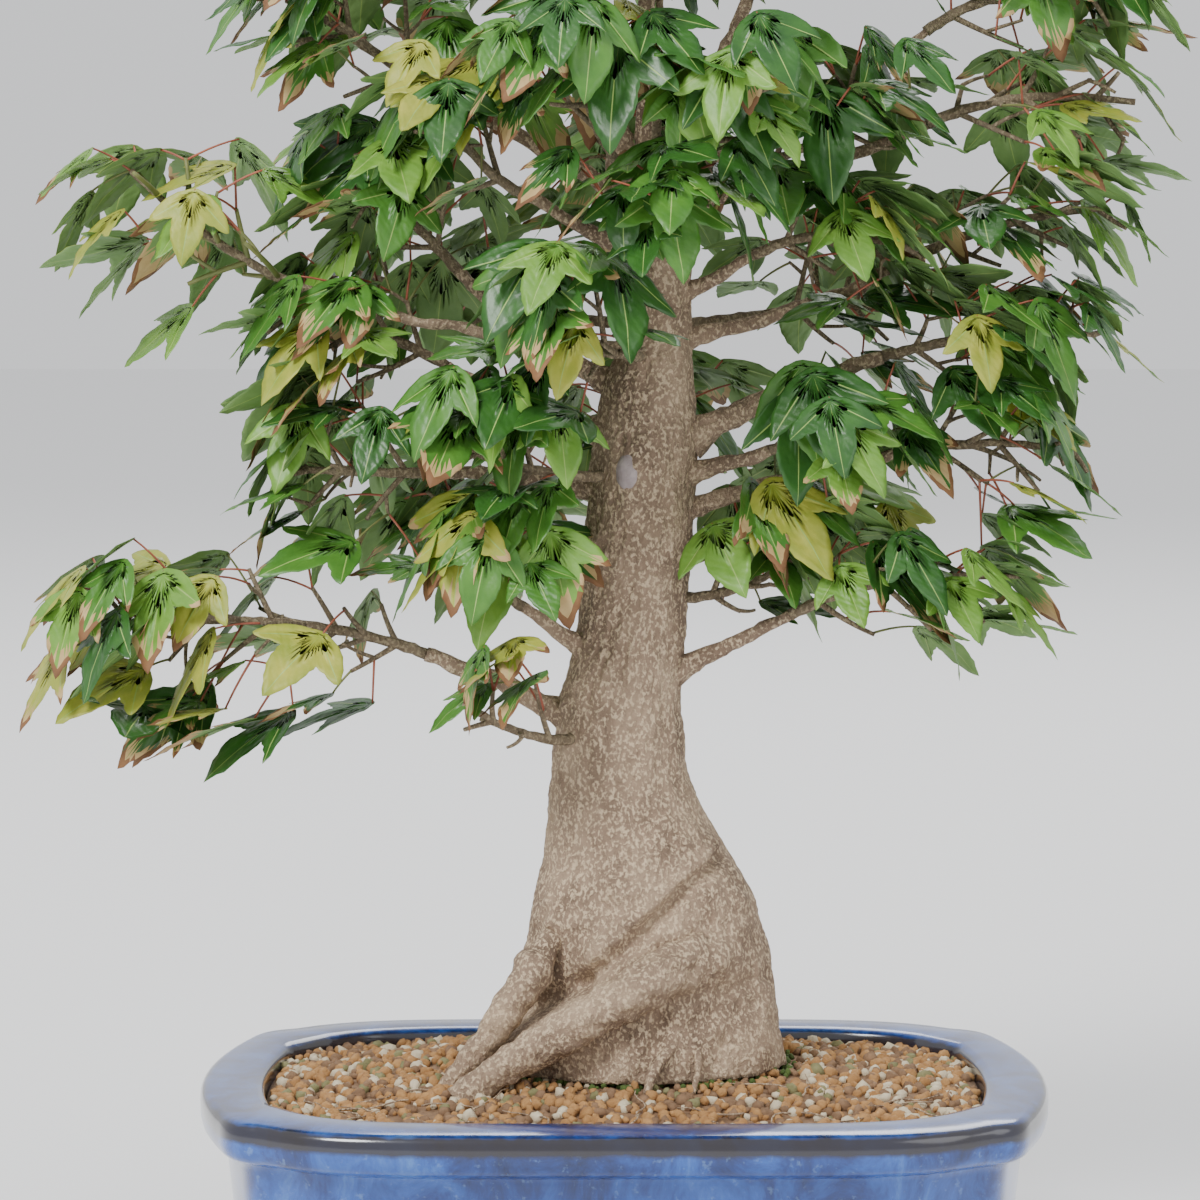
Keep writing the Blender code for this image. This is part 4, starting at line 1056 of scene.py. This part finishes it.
def pebble(chance):
    """A rough grain from a cube whose faces are split once."""
    steps = (-1.0, 0.0, 1.0)
    points = np.array([p for p in itertools.product(steps, repeat=3) if any(p)])
    names = {tuple(p): i for i, p in enumerate(points)}
    faces = []
    for axis, sign, u, v in itertools.product(range(3), (-1.0, 1.0), (-1.0, 0.0), (-1.0, 0.0)):
        corner = []
        for du, dv in ((0, 0), (1, 0), (1, 1), (0, 1)):
            place = [0.0, 0.0, 0.0]
            place[axis], place[(axis + 1) % 3], place[(axis + 2) % 3] = sign, u + du, v + dv
            corner.append(names[tuple(place)])
        if sign < 0:
            corner.reverse()
        faces += [(corner[0], corner[1], corner[2]), (corner[0], corner[2], corner[3])]
    points = points / np.linalg.norm(points, axis=1)[:, None]
    return points * chance.uniform(0.74, 1.14, (len(points), 1)), np.array(faces)


def make_bed():
    plans = [pot_outline(inset, 0.0) for inset in BED_INSETS]
    rings = [level_ring(plans[0], BED_BOTTOM)]
    rings += [np.array([(x, y, soil_height(x, y) - 1.0) for x, y in plan]) for plan in plans]
    builder = Builder()
    add_stack(builder, rings)
    builder.finish("soil_bed", [GRAINS[1]], "soil", ["soil"])


def random_turn(chance):
    turn, _ = np.linalg.qr(chance.normal(size=(3, 3)))
    if np.linalg.det(turn) < 0:
        turn[:, 0] *= -1
    return turn


def make_grains(chance):
    shapes = [pebble(chance) for _ in range(GRAIN_SHAPES)]
    builder = Builder()
    placed = 0
    while placed < GRAIN_COUNT:
        x, y = chance.uniform(-131, 131), chance.uniform(-82, 82)
        corner = max(0.0, abs(x) - 100.0) + max(0.0, abs(y) - 58.0)
        distance = math.hypot((x - FOOT_X - 3.0) / 50.0, (y - FOOT_Y) / 42.0)
        if corner > 40.0 or distance < 0.95:
            continue
        placed += 1
        points, faces = shapes[int(chance.integers(len(shapes)))]
        size = chance.uniform(*GRAIN_SIZES) * (0.75 if distance < 1.35 else 1.0)
        turn = random_turn(chance)
        points = (points * chance.uniform(0.75, 1.2, 3) * size) @ turn.T
        kind = int(chance.choice(len(GRAIN_CHANCES), p=GRAIN_CHANCES))
        if distance < 1.3 and chance.random() < 0.45:
            kind = MOSS
        level = soil_height(x, y) - 0.7 + chance.uniform(0, 1)
        builder.add(points + (x, y, level), faces, kind)
    builder.finish("soil_grains", GRAINS, "soil", (), smooth=False)


def make_surface_roots(chance):
    builder = Builder()
    for _ in range(FINE_ROOTS):
        x, y = chance.uniform(-120, 120), chance.uniform(-75, -20)
        heading = chance.uniform(0, 2 * math.pi)
        path = []
        for k in range(FINE_ROOT_POINTS):
            path.append((x, y, soil_height(x, y) + 1.5 + math.sin(k) * 0.5))
            heading += chance.uniform(-0.6, 0.6)
            x = min(118.0, max(-118.0, x + math.cos(heading) * FINE_ROOT_STEP))
            y = min(72.0, max(-74.0, y + math.sin(heading) * FINE_ROOT_STEP))
        tube(builder, path, np.linspace(0.4, 0.2, FINE_ROOT_POINTS), 6)
    for start, bend, end, steps, radii, sides in FRONT_ROOTS:
        path = bezier(np.array(start), np.array(bend), np.array(end), steps)
        tube(builder, path, np.linspace(*radii, steps + 1), sides, 0, 0.2)
    builder.finish("surface_roots", [BARK], "bark")


# The whole plant

bark = Builder()
trunk_mesh(bark)
make_roots(bark)
TIPS = make_boughs(bark)
bark.finish("bark", [BARK, WOOD], "bark", ["trunk"] + ["bough_" + name for name in BOUGHS])
crown = Crown()
for number, name in enumerate(FOLIAGE):
    Mass(name, number, crown, TIPS).grow()
for side, builder in crown.blades.items():
    nodes = ["foliage_" + name for name in FOLIAGE if side_of(name) == side]
    builder.finish("leaves_" + side, LEAVES, "leaf", nodes)
crown.twigs.finish("twigs", [TWIG, SHOOT], "bark")
crown.stalks.finish("leaf_stalks", [PETIOLE, SHOOT], "leaf")
make_healed_cut()
make_pot()
make_bed()
soil_chance = np.random.default_rng([SEED, 500])
make_grains(soil_chance)
make_surface_roots(soil_chance)
print("leaves", crown.leaves)


# Camera, floor and light

LIGHT_TARGET = Vector((0.0, 0.0, 0.3))
CAMERA_PLACE = (-9.02, -1761.96, 460.09)
CAMERA_PITCH = 6.147
CAMERA_LENS, SENSOR_WIDTH = 143.53, 36.0
FLOOR_HALF, FLOOR_LEVEL = 6, -0.0005
SKY, SKY_STRENGTH = (0.95, 0.96, 0.98, 1.0), 0.95


def area_light(name, place, size, energy):
    data = bpy.data.lights.new(name, "AREA")
    data.shape, data.size, data.energy = "DISK", size, energy
    lamp = place_object(name, data)
    lamp.location = place
    lamp.rotation_mode = "QUATERNION"
    lamp.rotation_quaternion = (LIGHT_TARGET - Vector(place)).to_track_quat("-Z", "Y")


camera_data = bpy.data.cameras.new("camera")
camera_data.lens, camera_data.sensor_width = CAMERA_LENS, SENSOR_WIDTH
camera_data.clip_start, camera_data.clip_end = 0.05, 30.0
camera = place_object("camera", camera_data)
camera.location = Vector(CAMERA_PLACE) * MM + SHIFT
camera.rotation_euler = (math.radians(90.0 - CAMERA_PITCH), 0.0, 0.0)
bpy.context.scene.camera = camera

floor_mesh = bpy.data.meshes.new("floor")
floor_corners = [(FLOOR_HALF * x, FLOOR_HALF * y, FLOOR_LEVEL)
                 for x, y in ((-1, -1), (1, -1), (1, 1), (-1, 1))]
floor_mesh.from_pydata(floor_corners, [], [(0, 1, 2, 3)])
floor_mesh.materials.append(shader_of("floor", (0.9, 0.9, 0.9), 0.85)[0])
floor = place_object("floor", floor_mesh)
area_light("key", (-1.3, -1.7, 2.2), 1.0, 74.0)
area_light("fill", (1.9, -1.5, 1.3), 1.8, 15.0)
area_light("back", (0.4, 2.0, 1.9), 1.5, 26.0)
world = bpy.data.worlds.new("studio")
world.use_nodes = True
background = world.node_tree.nodes["Background"]
background.inputs["Color"].default_value = SKY
background.inputs["Strength"].default_value = SKY_STRENGTH
bpy.context.scene.world = world
